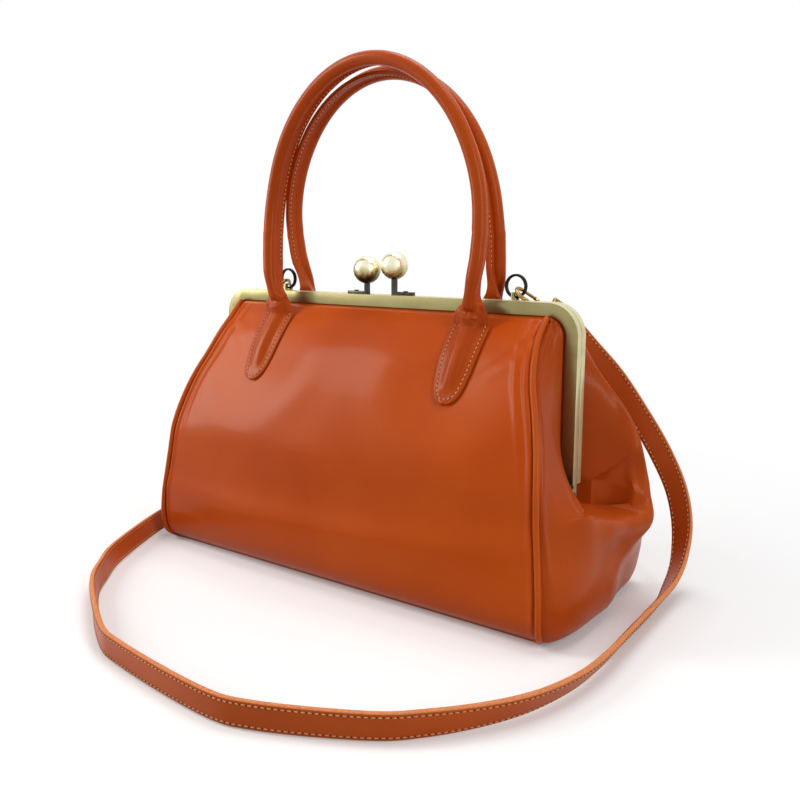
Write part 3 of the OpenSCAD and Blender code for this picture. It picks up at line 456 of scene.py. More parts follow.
def upper_row(i, ridge, sag):
    """Points of a row from the seam to the ridge, and from there in to the frame."""
    ex, ez, c, s = leg_edge(i)
    r = np.array(ridge[i], float)
    f = np.array([ex - c * 0.5, half_depth + 1.8, ez - s * 0.5])
    wall = [r + (f - r) * t - [0, dip, 0] for t, dip in ((0.2, 0.6), (0.4, 0.3), (0.6, 0), (0.8, 0))]
    lip = [[ex + c * d, y, ez + s * d] for d, y in ((-2, half_depth - 0.6), (0.5, lip_y), (5, lip_y))]
    return seam_strip(seam_point(seam_rows[i]), r, sag), wall + [f] + lip

# %% Rows of the lower gusset, from the base up to the fold
low_z, foot_y = [4, 8, 14, 28, 42, 54, 65], 55.8
end_middle = [[1.4, 14], [4, 20.5], [8, 24], [14, 26], [28, 26], [42, 25.5], [54, 29.5], [65, 33.5]]
back_end = [[1.4, 12], [4, 15.5], [8, 18], [14, 20], [28, 23.5], [42, 30], [54, 37], [65, 39.6]]
front_end = [[1.4, 12], [4, 20], [8, 24], [14, 26], [28, 26.5], [42, 26], [54, 25.5], [65, 24.8]]
lip_drop = [[-0.46, -7], [-0.36, -4.8], [-0.24, -2.4], [-0.12, -0.2], [0, 1.4], [0.12, 2.4], [0.24, 3],
    [0.46, 3.6]]
# shares of the half depth: where the ridge runs, and the columns between the two ridges
ridge_share, middle_share = 0.46, [0.36, 0.24, 0.12, 0, -0.12, -0.24, -0.36]

def end_x(c, z):
    side = lookup(z, back_end if c > 0 else front_end)
    middle = lookup(z, end_middle)
    return leg_out + middle + (side - middle) * smoothstep(abs(c) / ridge_share)

def lip_z(c, z):
    return z - lookup(c, lip_drop) * smoothstep((z - 50) / 15)

def low_strip(z, s):
    """Seam to ridge below the fold on the back (s 1) or front (s -1), at the same shares as above it."""
    a = seam_point(z)
    r = np.array([end_x(ridge_share * s, z), ridge_share * (seam_y(z) - 1), lip_z(ridge_share * s, z)], float)
    if s > 0:
        r += np.array([2.6, 1.2, 0]) * smoothstep((z - 40) / 20)
    t = strip_share[:, None]
    w = smoothstep((z - 26) / 44)
    d = r - a
    round_end = a + np.concatenate([d[0] * np.sqrt(np.maximum(1 - (1 - t) ** 2.2, 0)), d[1] * t, d[2] * t], 1)
    return round_end * (1 - w) + seam_strip(a, r, 0.1 if s > 0 else 0.0) * w

def foot_strip():
    a, r = np.array([159.3, foot_y, 1.6]), np.array([164.0, ridge_share * foot_y, 0.9])
    t = strip_share[:, None]
    return a + (r - a) * t + np.concatenate([1.5 * np.sin(t * math.pi / 2), 0 * t, 0 * t], 1)

# %% Grids with a chosen number of steps, and leather that rounds its creases
def across(points, step):
    return np.swapaxes(spans(np.swapaxes(points, 0, 1), [step] * (points.shape[1] - 1)), 0, 1)

def soften(points, columns, rounds, reach):
    """Round a crease that runs along some columns, as leather does where it folds."""
    p = points.copy()
    c = np.arange(p.shape[1])
    w = np.clip(sum(np.exp(-((c - k) / reach) ** 2) for k in columns), 0, 1)[None, 1:-1, None] * 0.5
    for _ in range(rounds):
        p[:, 1:-1] += w * (p[:, :-2] + p[:, 2:] - 2 * p[:, 1:-1])
    return p

def fold_row(ridge_back, ridge_front):
    """Inner end of the shelf under the hinge, just below the walls of the two folds."""
    made = []
    for c in middle_share:
        s, r = (1, ridge_back) if c > 0 else (-1, ridge_front)
        a = abs(c)
        if a > 0.3:
            made.append([140 + (r[0] - 140) * 0.6, s * (6 + (r[1] - 6) * 0.62), 71.9 if s < 0 else 65.5])
        elif a > 0.2:
            made.append([140 + (r[0] - 140) * 0.25, s * (6 + (r[1] - 6) * 0.28), 70.2 if s < 0 else 67])
        else:
            made.append([140, s * a / 0.12 * 6.5, 66.5 + 6 * a])
    return np.array(made)

# %% The grids of a gusset end
step, row_steps = 5, [5] * 7 + [15] + [6] * 13
fold_at = sum(row_steps[:8])

def middle_net():
    """The rounded end between the two ridges, from the base up and in over the shelf."""
    rows = [[[164.3 + 0.7 * (1 - abs(c)), c * foot_y, 0.6] for c in middle_share]]
    rows += [[[end_x(c, z), c * (seam_y(z) - 1), lip_z(c, z)] for c in middle_share] for z in low_z]
    lip, fold = np.array(rows[-1]), fold_row(back_ridge[-1], front_ridge[-1])
    for t, rise in ((0.34, 2.2), (0.67, 4.6)):
        swell = [[0, 0, rise * (1 - smoothstep(abs(c + 0.06) / 0.34))] for c in middle_share]
        rows.append(lip + (fold - lip) * t + swell)
    return spans(np.array(rows + [fold]), [step] * 10)

def gusset_points():
    """Nets of the lower gusset and of the two folds above it, and the column of the ridge."""
    strips, uppers = [], []
    for ridge, sag, s in ((fuller(back_ridge), 0.1, 1), (front_ridge, 0.0, -1)):
        rows = [upper_row(i, ridge, sag) for i in range(len(ridge) - 1, -1, -1)]
        lines = [foot_strip()] + [low_strip(z, s) for z in low_z] + [seam_part for seam_part, wall in rows]
        strip = spans(lines, row_steps)
        top = strip[fold_at:]
        walls = spans(np.array([wall for seam_part, wall in rows]), row_steps[8:])
        core = np.concatenate([top[:, -6::5], walls], 1)
        uppers.append(np.concatenate([top[:, :-1], across(core, step)[:, step:]], 1))
        strips.append(strip[:fold_at + 1] * [1, s, 1])
    back, front = strips
    core = across(np.concatenate([back[:, -6::5], middle_net(), front[:, -1:-7:-5]], 1), step)[:, step:-step]
    lower = np.concatenate([back[:, :-1], core, front[:, -2::-1]], 1)
    n = back.shape[1] - 1
    lower = soften(lower, (n, lower.shape[1] - 1 - n), 10, 5)
    lower = np.swapaxes(soften(np.swapaxes(lower, 0, 1), (35,), 14, 3.5), 0, 1)
    return lower, uppers[0], uppers[1], n

# %% Creases of the back fold, and the seam between folds and lower gusset
upright_crease = [[66, 0.2], [79, 0.27], [92, 0.22], [107, 0.12], [112, 0.1]]
wall_columns, wall_width = 25, 50

def pocket_creases(upper, n):
    """The back fold is pushed in below a crease from the foot of the leg up to the ridge."""
    p = upper.copy()
    u = np.clip((np.arange(p.shape[1]) - n) / wall_columns, -0.4, 1.0)[None]
    z = p[..., 2]
    crease = 110 - 35 * np.clip(u, 0, 1) ** 0.9
    d = z - crease
    inside = np.clip(u / 0.15, 0, 1) * np.clip((1 - u) / 0.12, 0, 1)
    upright = (u - lookup(z, upright_crease)) * wall_width
    push = 3.2 * np.exp(-(d / 2.3) ** 2) - 4.6 * np.exp(-((d + 12) / 9) ** 2) * np.clip((crease - 73) / 14, 0, 1)
    push = push + 2.4 * np.exp(-(upright / 2.2) ** 2) * smoothstep((112 - z) / 10)
    push = push - 1.6 * np.exp(-((d - 20) / 13) ** 2)
    out = np.array([0.67, -0.74, 0])
    return p + (push * inside)[..., None] * out

def joined_foot(upper, target, rows=14, columns=8):
    """Bring the foot of a fold onto the lower gusset's edge, the shift dying away above it."""
    shift = target - upper[0, :len(target)]
    beyond = shift[-1] * (1 - smoothstep(np.arange(1, columns + 1) / columns))[:, None]
    rest = np.zeros((upper.shape[1] - len(target) - columns, 3))
    fade = 1 - smoothstep(np.arange(len(upper)) / rows)
    return upper + fade[:, None, None] * np.concatenate([shift, beyond, rest])[None]

# %% Build the lower gussets with the back folds, and the front folds that open
lower_net, back_net, front_net, ridge_column = gusset_points()
creases = (ridge_column, ridge_column + wall_columns)
back_net = soften(pocket_creases(back_net, ridge_column), creases, 5, 4)
front_net = soften(front_net, creases, 3, 1.5)
top_row = lower_net[fold_at]
back_net = joined_foot(back_net, top_row[:ridge_column + 1])
front_net = joined_foot(front_net, top_row[::-1][:ridge_column + 1] * [1, -1, 1])

# the back fold's wall goes on down behind the shelf, so the pocket has no gap
edge = back_net[0, ridge_column:]
reach = np.clip(np.arange(len(edge)) / 23.0, 0, 1)
drop = np.linspace(20, 0, 9)[:, None] * (0.6 + 0.4 * reach)
inwards = drop * 0.28 * (1 - reach) ** 2
wall_foot = edge[None] - drop[..., None] * [0, 0, 1.0] - inwards[..., None] * [1.0, 0.2, 0]

def oriented(name, points, s, turned):
    """A grid on the side s of the bag, with its faces turned outwards."""
    obj = skin(name, points * [s, 1, 1])
    return flip(obj) if turned else obj

gussets = {}
for side, s in (("right", 1), ("left", -1)):
    pieces = [oriented(*net, s, s > 0) for net in (("low", lower_net), ("back", back_net), ("tuck", wall_foot))]
    rear = edit(join(pieces, f"rear_gusset_{side}"), merge(0.00003))
    gussets["rear", side] = thicken(rear, 1.3)
    gussets["front", side] = thicken(oriented(f"front_gusset_{side}", front_net * [1, -1, 1], s, s < 0), 1.3)
print("gusset faces:", sum(len(g.data.polygons) for g in gussets.values()))

# %% [markdown]
# ## Handles
# Each handle is one strip of leather rolled round a rope and sewn shut along a flange. At both ends the
# roll opens out into a teardrop tab that is stitched to the panel, with the rope's end as a raised ridge.
# One run of rings makes the whole piece, its section changing from a flat tab to a round roll.

# %% Handle tables by height
tab_x, tab_tip = 82.8, 131
front_lean = [[190, 22.3], [200, 22.2], [205, 22], [215, 20.7], [225, 19.6], [235, 18.7], [245, 17.9],
    [255, 17.2], [300, 17], [360, 17]]
back_lean = [[190, 15.6], [200, 14.4], [205, 13.2], [215, 10.5], [230, 8], [245, 5.8], [260, 4.8],
    [300, 4], [360, 3.4]]
leg_offset = [[190, -5], [200, -2.9], [209, -1.5], [217, -0.5], [226, 0], [360, 0]]
tab_width = [[0.0, 6.4], [0.5, 9.4], [1, 11.6], [2, 14], [3, 15.8], [5, 18.2], [7, 19.9], [14, 23.2],
    [24, 25.8], [34, 27.2], [41, 27.8], [46, 27.8], [49, 27], [53, 24.6], [57, 20.8], [60, 17.6],
    [63, 14.6], [68, 12.2], [78, 10.4], [90, 9.5]]
rope_ridge = [[0, 0], [6, 0], [9, 0.8], [14, 2.6], [20, 3.6], [30, 4.2], [40, 4.5], [46, 4.4], [62, 5.3], [90, 6]]
facts = {"front": dict(leg_x=88.8, rise_by=109, lean=front_lean, neck_y=22, front=True),
    "back": dict(leg_x=86.3, rise_by=103, lean=back_lean, neck_y=15.5, front=False)}
steps_up = np.concatenate([[0, 0.25, 0.5, 0.8, 1.2, 1.7, 2.3, 3, 3.9, 5, 6.2], np.arange(7.5, 80, 1.25)])

# %% One cross section, opening from a roll into a tab
outline_s = np.linspace(-1, 1, 57)
roll_r, flange_reach, flange_sides = 4.75, 11.0, (-0.2, -2.8)

def roll_half(s):
    """Outside of the roll and its flange, s from one flange edge round the front to the other."""
    r = roll_r
    a = np.where(s > 0, *flange_sides)
    angle = np.clip(np.abs(s) / 0.68, 0, 1) * np.where(s > 0, math.pi + 0.2 / r, math.pi - 0.62)
    around = np.stack([r * np.sin(angle) * np.sign(s), -r * np.cos(angle)], -1)
    out = np.clip((np.abs(s) - 0.68) / 0.32, 0, 1)
    ends = around * (1 - out[..., None]) + np.stack([a, np.full_like(s, flange_reach)], -1) * out[..., None]
    return np.where((np.abs(s) > 0.68)[..., None], ends, around)

def tab_height(a, up, w):
    """How far the outside of a tab stands off the panel at a point across it."""
    ridge = lookup(up, rope_ridge)
    ridge_w = 4.6 + 0.022 * up
    edge = np.clip(1 - np.abs(a) / (w / 2), 0, 1)
    plate = 2.3 * np.minimum(1, 0.55 + 1.9 * edge) - 0.35 * bump(np.abs(a), w / 2 - 3.0, 0.9)
    top = ridge * np.exp(-(np.abs(a) / ridge_w) ** 3.4)
    hollow = -3.0 * bump(up, 53.5 + 0.045 * a * a, 2.3) * bump(a, 0.5, 6.5)
    swell = 1.1 * bump(up, 49.8 + 0.03 * a * a, 1.9) * bump(a, 0, 7)
    wrinkle = 0.5 * np.sin(up * 1.45 + a * 0.9) * bump(up, 51, 5) * bump(np.abs(a), 5, 4)
    return plate + top + hollow + swell + wrinkle

def tab_rest(x, up, front, neck_y):
    """Where the back of a tab lies: on the panel, then standing clear in front of the frame."""
    z = tab_tip + up
    low = np.minimum(z, 176)
    on_panel = panel_y(x, low) + relief(x, low, front) * smoothstep((178 - z) / 8) + 0.25
    return on_panel + (neck_y - roll_r - on_panel) * smoothstep((z - 172) / 20)

# %% Rings of one leg, from the tab's tip up to the roll
inside_s, flange_line = np.linspace(1, -1, 11)[1:-1], np.linspace(*flange_sides, 11)[1:-1]

def leg_rings(leg_x, lean, neck_y, front):
    made = []
    for up in steps_up:
        z, w = tab_tip + up, lookup(up, tab_width)
        rolled = smoothstep((up - 50) / 30)
        closed = smoothstep((up - 47) / 33) ** 1.4
        centre_x = tab_x + (leg_x + lookup(z, leg_offset) - tab_x) * smoothstep((up - 42) / 22)
        centre_y = lookup(max(z, 190), lean)
        a, inner_a, roll = outline_s * w / 2, inside_s * w / 2, roll_half(outline_s)
        back_y = [tab_rest(centre_x + b, up, front, neck_y) for b in (a, inner_a)]
        outer_tab = np.stack([centre_x + a, back_y[0] + tab_height(a, up, w)], 1)
        inner_tab = np.stack([centre_x + inner_a, back_y[1]], 1)
        outer_roll = np.stack([centre_x + roll[:, 0], centre_y - roll[:, 1]], 1)
        inner_roll = np.stack([centre_x + flange_line, np.full(9, centre_y - flange_reach)], 1)
        outer = outer_tab * (1 - rolled) + outer_roll * rolled
        inner = inner_tab * (1 - closed) + inner_roll * closed
        ring = np.concatenate([outer, inner])
        made.append(np.column_stack([ring[:, 0], ring[:, 1], np.full(len(ring), z)]))
    return np.array(made)

# %% Rings of a whole handle: one leg, the arch, and the leg again on the other side
def handle_rings(leg_x, rise_by, lean, neck_y, front):
    leg = leg_rings(leg_x, lean, neck_y, front)
    neck = [[leg_x + lookup(z, leg_offset), lookup(z, lean), z] for z in np.arange(213, 235, 2.5)]
    arch = []
    for t in np.radians(np.arange(0, 180.1, 2.5)):
        z = 235 + rise_by * math.sin(t)
        arch.append([leg_x * math.cos(t), lookup(z, lean), z])
    line = np.array(neck + arch + [[-x, y, z] for x, y, z in neck[::-1]], float)
    tangent = unit(np.gradient(line, axis=0))
    side = unit(np.cross([0, 1, 0], tangent))
    out = np.cross(tangent, side)
    section = np.concatenate([roll_half(outline_s), np.stack([flange_line, np.full(9, flange_reach)], 1)])
    arch = line[:, None] + side[:, None] * section[None, :, :1] - out[:, None] * section[None, :, 1:]
    up = leg[steps_up + tab_tip < 211]
    whole = np.concatenate([up, arch, up[::-1] * [-1, 1, 1]])
    if front:
        whole = whole * [1, -1, 1]
    return np.concatenate([whole, whole[:, :1]], 1), line, side, out

# %% Build both handles
handles, handle_lines = {}, {}
for name, about in facts.items():
    points, line, side, out = handle_rings(**about)
    handles[name] = shade(fill_ends(skin(f"{name}_handle", points, closed=True)), 38)
    handle_lines[name] = line, side, out, np.array([1, -1 if about["front"] else 1, 1])
print("handle faces:", len(handles["front"].data.polygons))

# %% [markdown]
# ## Stitching on tabs and handles
# A row of light thread runs three millimetres inside the edge of each tab, and another closes the
# flange along each handle. Every stitch is the same small capsule, copied along the line.

# %% Tab and flange stitches
def tab_stitch_line(neck_y, front, inset=2.9):
    """Line of the stitches round a tab's edge, with the way out of the leather at each point."""
    up = np.concatenate([np.linspace(46.5, 6, 40), np.linspace(5.5, 0, 16)])
    w = lookup(up, tab_width) / 2
    slope = np.gradient(w, up)
    a = w - inset / np.sqrt(1 + slope**2)
    raised = up + inset * slope / np.sqrt(1 + slope**2)
    keep = a > 0.2
    a, raised = a[keep], raised[keep]
    a = np.concatenate([a, [0.0], -a[::-1]])
    raised = np.concatenate([raised, [raised[-1] - 0.15], raised[::-1]])
    def at(aa, uu):
        x = tab_x + aa
        y = tab_rest(x, uu, front, neck_y) + tab_height(aa, uu, lookup(uu, tab_width))
        return np.stack([x, y, tab_tip + uu], 1)
    p = at(a, raised)
    n = unit(np.cross(at(a, raised + 0.3) - p, at(a + 0.3, raised) - p))
    return p, n * np.sign(n[:, 1:2])

handle_threads = {}
for name, (line, side, out, flip_y) in handle_lines.items():
    runs = []
    p, n = tab_stitch_line(facts[name]["neck_y"], facts[name]["front"])
    for s in (1, -1):
        runs.append(stitch_run(f"{name}_tab", p * flip_y * [s, 1, 1], n * flip_y * [s, 1, 1]))
    for offset, way in zip(flange_sides, (1, -1)):
        p = line + side * offset - out * 8.6
        runs.append(stitch_run(f"{name}_flange", p * flip_y, side * way * flip_y, lift=0.1))
    threads, holes = zip(*runs)
    handle_threads[name] = (join(threads, f"{name}_handle_threads"), join(holes, f"{name}_handle_holes"))
print("threads:", [len(t[0].data.vertices) for t in handle_threads.values()])

# %% Strap stitches, two rows on each face
side_way, face_way = frames_along(strap_line, strap_side)
runs = []
for offset in (-5.35, 5.35):
    for way in (1, -1):
        line = strap_line + side_way * offset + face_way * way * 1.58
        runs.append(stitch_run("strap", line[6:-6], face_way[6:-6] * way, pitch=3.3, length=2.4, lift=0.1))
threads, holes = zip(*runs)
strap_threads, strap_holes = join(threads, "strap_threads"), join(holes, "strap_holes")
print("strap stitches:", len(strap_threads.data.vertices) // 20)

# %% [markdown]
# ## Lining
# Inside, a thin brown cloth is sewn into the frame behind each panel and drops into a soft tub over the
# base board. It only shows when the bag is open, so it needs its thickness and a few slack folds.

# %% Lining sheets
def lining_points(low, front):
    z = np.linspace(low, 176, 60)
    cols = np.linspace(-1, 1, 91)
    x = cols[None] * (seam_x(z)[:, None] - 10)
    zz = np.repeat(z[:, None], 91, 1)
    slope = np.abs(np.gradient(seam_y(z), z))[:, None]
    slack = 0.5 * np.sin(x / 9 + zz / 23) * bump(zz, 110, 45)
    y = panel_y(x, zz) - 3.6 * np.sqrt(1 + slope**2) + slack - 0.5
    pts = np.stack([x, y, zz], -1)
    return pts * [1, -1, 1] if front else pts

cloth = 0.7
front_lining = thicken(flip(skin("front_lining_cloth", lining_points(74, True)[:, ::-1])), cloth)
back_lining = thicken(flip(skin("back_lining_cloth", lining_points(66, False))), cloth)

# %% Lining tub: height of a row, and how far it lies in from the wall in x and y
tub_rows = [(5.2, 60, 40), (4.6, 20, 12), (4.5, 9, 4), (5.4, 2.5, 1.4), (8, 0.6, 0.5)]
tub_rows += [(z, 0, 0) for z in (12, 20, 30, 40, 50, 58, 63.5)]

def tub_points():
    a = np.linspace(0, 2 * np.pi, 145)
    c, s = np.cos(a), np.sin(a)
    rows = []
    for z, dx, dy in tub_rows:
        free = np.clip((z - 10) / 30, 0, 1)
        fold = 0.9 * np.sin(a * 22 + z / 9) * free + 0.5 * np.sin(a * 9) * free
        x = (143.2 - dx - fold) * np.sign(c) * np.abs(c) ** 0.4
        y = (seam_y(max(z, 6)) - 6.2 - dy - fold) * np.sign(s) * np.abs(s) ** 0.4
        rows.append(np.stack([x, y, np.full_like(x, z)], 1))
    rows.insert(0, np.stack([c * 0.5, s * 0.5, np.full_like(c, 5.2)], 1))
    return spans(np.array(rows), [4] * 12)

lining_tub = thicken(skin("lining_tub_cloth", tub_points(), closed=True), cloth)
print("lining faces:", len(lining_tub.data.polygons))

# %% [markdown]
# ## Base and rope cores
# The base is a stiff leather plate under a board, with its edges pared round. The rope in each handle is
# three strands twisted together.

# %% Round the edges of a copy of a node
def dressed(node, width, segments=2):
    """A merged copy of a node's mesh, bevelled when a width is given, which stands for the node."""
    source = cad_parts[node]
    obj = source.copy()
    obj.data = source.data.copy()
    obj.parent = None
    obj.matrix_world = source.matrix_world.copy()
    obj.name = obj.data.name = node + "_dressed"
    bpy.context.scene.collection.objects.link(obj)
    edit(obj, merge(0.00001), lambda: bpy.ops.mesh.dissolve_limited(angle_limit=math.radians(1)))
    if width:
        modify(obj, "BEVEL", width=width / 1000, segments=segments, limit_method="ANGLE",
            angle_limit=math.radians(30), harden_normals=False, loop_slide=False)
    return shade(obj, 35)

base_leather = dressed("base_leather", 0.5)
base_board = dressed("base_board", 0.3)

# %% Ropes of three twisted strands
def rope(count):
    turns = np.arange(count) * 0.16
    a = np.arange(24) * 2 * np.pi / 24
    r = 2.55 + 0.38 * np.abs(np.sin(1.5 * (a[None] - turns[:, None])))
    return np.stack([r * np.cos(a), r * np.sin(a)], -1)

ropes = {}
for name, (line, side, out, flip_y) in handle_lines.items():
    dense, dense_side = [spans(p, [4] * (len(line) - 1)) for p in (line, side)]
    points = rings(dense * flip_y, dense_side * flip_y, rope(len(dense)))
    ropes[name] = fill_ends(skin(f"{name}_rope", points, closed=True))
print("rope faces:", len(ropes["front"].data.polygons))

# %% [markdown]
# ## Metal parts
# The frame is two folded brass channels, the clasp two balls on bent bars, and each end carries a split ring with
# a snap hook. Sharp edges look wrong on metal, because even a crisp fold is a small round that catches light. The
# frame, clasp bars, pins and ring eyes are copies of their solids with their edges bevelled; the hooks and rivets
# are merged copies, and the balls and split rings are made anew.

# %% Dress the metal
metal = {}
for node, width in (("front_frame", 0.7), ("back_frame", 0.7), ("front_clasp_arm", 0.35),
        ("back_clasp_arm", 0.35), ("ring_eye_right", 0.3), ("ring_eye_left", 0.3),
        ("front_clasp_pin", 0.2), ("back_clasp_pin", 0.2)):
    metal[node] = dressed(node, width, 3)
print("bevelled parts:", len(metal))

# %% Clasp balls as smooth round pieces
def ball(name, node):
    low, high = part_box(node)
    centre, radius = (Vector(low) + Vector(high)) / 2, (high[0] - low[0]) / 2
    bpy.ops.object.select_all(action="DESELECT")
    bpy.ops.mesh.primitive_uv_sphere_add(segments=64, ring_count=32, radius=radius,
        location=(centre.x, centre.y, high[2] - radius))
    obj = bpy.context.object
    obj.name = obj.data.name = name
    bpy.ops.object.transform_apply(location=True, rotation=True, scale=True)
    bpy.ops.object.shade_smooth()
    return obj

clasp_balls = [ball(node + "_turned", node) for node in ("front_clasp_ball", "back_clasp_ball")]
for obj in clasp_balls:
    print(obj.name, [round(1000 * x, 1) for x in obj.dimensions])

# %% Split rings as one coil of wire with two turns
def coil(name, s):
    t = np.linspace(0, 4 * np.pi, 161)
    rise = np.interp(t, [0, 2 * np.pi - 0.5, 2 * np.pi + 0.5, 4 * np.pi], [-0.76, -0.76, 0.76, 0.76])
    x, y, z, r = 99, 10, 199.8, 6.95
    line = np.stack([x + r * np.sin(t), y + rise, z - r * np.cos(t)], 1) * [s, 1, 1]
    hint = np.stack([np.sin(t), 0 * t, -np.cos(t)], 1) * [s, 1, 1]
    return fill_ends(skin(name, rings(line, hint, circle(0.78, 10)), closed=True))

split_rings = {side: coil(f"split_ring_{side}_wire", s) for side, s in (("right", 1), ("left", -1))}
hooks = {f"{part}_{side}": dressed(f"{part}_{side}", 0)
    for part in ("snap_hook", "hook_gate", "hook_swivel", "hinge_rivet") for side in ("right", "left")}
print("hook parts:", len(hooks))

# %% [markdown]
# ## Materials
# A finish is more than one colour: dyed leather varies in tone from place to place, and brass that was made to
# look old is brown in its low spots. The gussets take a darker copy of the panel leather as painted shade, the
# frame's outward-facing rims a paler brass as a painted highlight, and the clasp balls a painted highlight on top
# and painted shade underneath. The recipes below are built from noise and each piece's own coordinates. A small
# class lets shader maths read as plain sums.

# %% A socket that can be added and multiplied
class Wire:
    def __init__(self, tree, socket):
        self.tree, self.socket = tree, socket

    def math(self, operation, *values):
        node = self.tree.nodes.new("ShaderNodeMath")
        node.operation = operation
        for slot, value in zip(node.inputs, values):
            if isinstance(value, Wire):
                self.tree.links.new(value.socket, slot)
            else:
                slot.default_value = value
        return Wire(self.tree, node.outputs[0])

    def __add__(self, other): return self.math("ADD", self, other)
    def __radd__(self, other): return self.math("ADD", other, self)
    def __sub__(self, other): return self.math("SUBTRACT", self, other)
    def __rsub__(self, other): return self.math("SUBTRACT", other, self)
    def __mul__(self, other): return self.math("MULTIPLY", self, other)
    def clamp(self): return self.math("MINIMUM", self.math("MAXIMUM", self, 0.0), 1.0)

# %% A material and the one way its nodes are made
class Finish:
    def __init__(self, name, **constants):
        self.material = bpy.data.materials.new(name)
        self.material.use_nodes = True
        self.tree = self.material.node_tree
        self.shader = self.tree.nodes["Principled BSDF"]
        for key, value in constants.items():
            self.shader.inputs[key.replace("_", " ")].default_value = value

    def node(self, kind, output=0, settings=None, stops=None, **inputs):
        made = self.tree.nodes.new("ShaderNode" + kind)
        for key, value in (settings or {}).items():
            setattr(made, key, value)
        if stops:
            ramp = made.color_ramp
            while len(ramp.elements) < len(stops):
                ramp.elements.new(0.5)
            for element, (place, colour) in zip(ramp.elements, stops):
                element.position, element.color = place, (*colour, 1)
        for key, value in inputs.items():
            slot = made.inputs[int(key[1:])] if key[1:].isdigit() else made.inputs[key.replace("_", " ")]
            if isinstance(value, Wire):
                self.tree.links.new(value.socket, slot)
            else:
                slot.default_value = value
        return Wire(self.tree, made.outputs[output])

    def feed(self, **wires):
        for key, wire in wires.items():
            self.tree.links.new(wire.socket, self.shader.inputs[key.replace("_", " ")])
        return self

    def place(self):
        return self.node("TexCoord", output="Object")

    def noise(self, scale, detail, roughness, vector=None, distortion=0.0):
        return self.node("TexNoise", output="Fac", Vector=vector or self.place(), Scale=scale, Detail=detail,
            Roughness=roughness, Distortion=distortion)

    def bands(self, direction, scale, distortion=0.0):
        return self.node("TexWave", output="Fac", settings={"wave_type": "BANDS", "bands_direction": direction},
            Vector=self.place(), Scale=scale, Distortion=distortion)

    def ramp(self, amount, *stops):
        """Colours of 0 to 255 at places along a ramp."""
        return self.node("ValToRGB", Fac=amount, stops=[(place, srgb(*colour)) for place, colour in stops])

    def stretched(self, x, y, z):
        return self.node("Mapping", Vector=self.place(), Scale=(x, y, z))

    def mix(self, amount, a, b):
        """Mix two colours, each three numbers."""
        return self.node("Mix", output=2, settings={"data_type": "RGBA"}, i0=amount, i6=(*a, 1), i7=(*b, 1))

    def bump(self, height, strength, distance):
        return self.node("Bump", Height=height, Strength=strength, Distance=distance)

def srgb(*colour):
    """Three numbers of 0 to 255 as the linear numbers that Blender takes."""
    return tuple((c / 255 / 12.92) if c / 255 <= 0.04045 else ((c / 255 + 0.055) / 1.055) ** 2.4 for c in colour)

# %% Smooth tan leather
def leather(name, light, mid, dark, roughness):
    f = Finish(name, IOR=1.4, Specular_IOR_Level=0.22, Specular_Tint=(1.0, 0.66, 0.4, 1.0),
        Coat_Roughness=0.14, Coat_IOR=1.35, Coat_Weight=0.1)
    cloud = f.noise(9, 4, 0.55)
    fine = f.noise(420, 3, 0.6)
    pores = f.noise(1500, 2, 0.5)
    tone = (cloud * 1.5 - 0.25 + (fine - 0.5) * 0.16).clamp()
    rubbed = f.noise(36, 5, 0.65)
    rough = rubbed * 0.14 + (roughness - 0.07) + (fine - 0.5) * 0.05
    height = fine * 0.55 + pores * 0.45
    f.feed(Base_Color=f.ramp(tone, (0.0, dark), (0.5, mid), (1.0, light)), Roughness=rough,
        Normal=f.bump(height, 0.06, 0.0008))
    return f.material

tan = leather("tan_leather", (206, 88, 21), (194, 77, 15), (178, 64, 11), 0.36)
# the gussets take the panels' leather drawn darker, as painted shade on the ends of the bag
gusset_tan_painted_shade = leather("tan_leather_gusset_painted_shade", (190, 80, 22), (176, 70, 17), (158, 58, 12), 0.38)
piping_tan = leather("tan_leather_piping", (206, 94, 30), (194, 84, 24), (176, 70, 18), 0.34)
handle_tan = leather("tan_leather_handle", (196, 82, 21), (180, 70, 16), (160, 58, 12), 0.32)
strap_tan = leather("tan_leather_strap", (206, 96, 38), (192, 84, 30), (168, 68, 20), 0.38)

# %% Cut edge of the leather
def raw_edge():
    f = Finish("cut_edge", IOR=1.45)
    layers = f.noise(900, 3, 0.6)
    colour = f.ramp(layers, (0.25, (196, 104, 52)), (0.55, (226, 140, 84)), (0.8, (238, 164, 110)))
    f.feed(Base_Color=colour, Roughness=layers * 0.3 + 0.5, Normal=f.bump(layers, 0.25, 0.001))
    return f.material

cut_edge = raw_edge()

# %% Thread and lining cloth
def thread():
    f = Finish("waxed_thread", IOR=1.45)
    twist = f.bands("DIAGONAL", 900.0, 2.0)
    colour = f.mix(twist, srgb(214, 146, 88), srgb(242, 190, 132))
    f.feed(Base_Color=colour, Roughness=twist * 0.2 + 0.45, Normal=f.bump(twist, 0.4, 0.0005))
    return f.material

def cloth_weave():
    f = Finish("brown_lining", IOR=1.4, Sheen_Weight=0.25)
    weave = f.bands("X", 620.0) * 0.5 + f.bands("Z", 620.0) * 0.5
    slub = f.noise(60, 4, 0.6)
    colour = f.mix((weave * 0.6 + slub * 0.5).clamp(), srgb(62, 42, 26), srgb(108, 78, 50))
    f.feed(Base_Color=colour, Roughness=slub * 0.2 + 0.65, Normal=f.bump(weave, 0.35, 0.0008))
    return f.material

waxed_thread, lining_cloth = thread(), cloth_weave()

# %% Holes, rope, board and paper
def plain(name, light, dark, scale, roughness, bump=0.2):
    f = Finish(name, IOR=1.45)
    cloud = f.noise(scale, 5, 0.6)
    f.feed(Base_Color=f.mix(cloud, srgb(*dark), srgb(*light)), Roughness=cloud * 0.2 + (roughness - 0.1),
        Normal=f.bump(cloud, bump, 0.001))
    return f.material

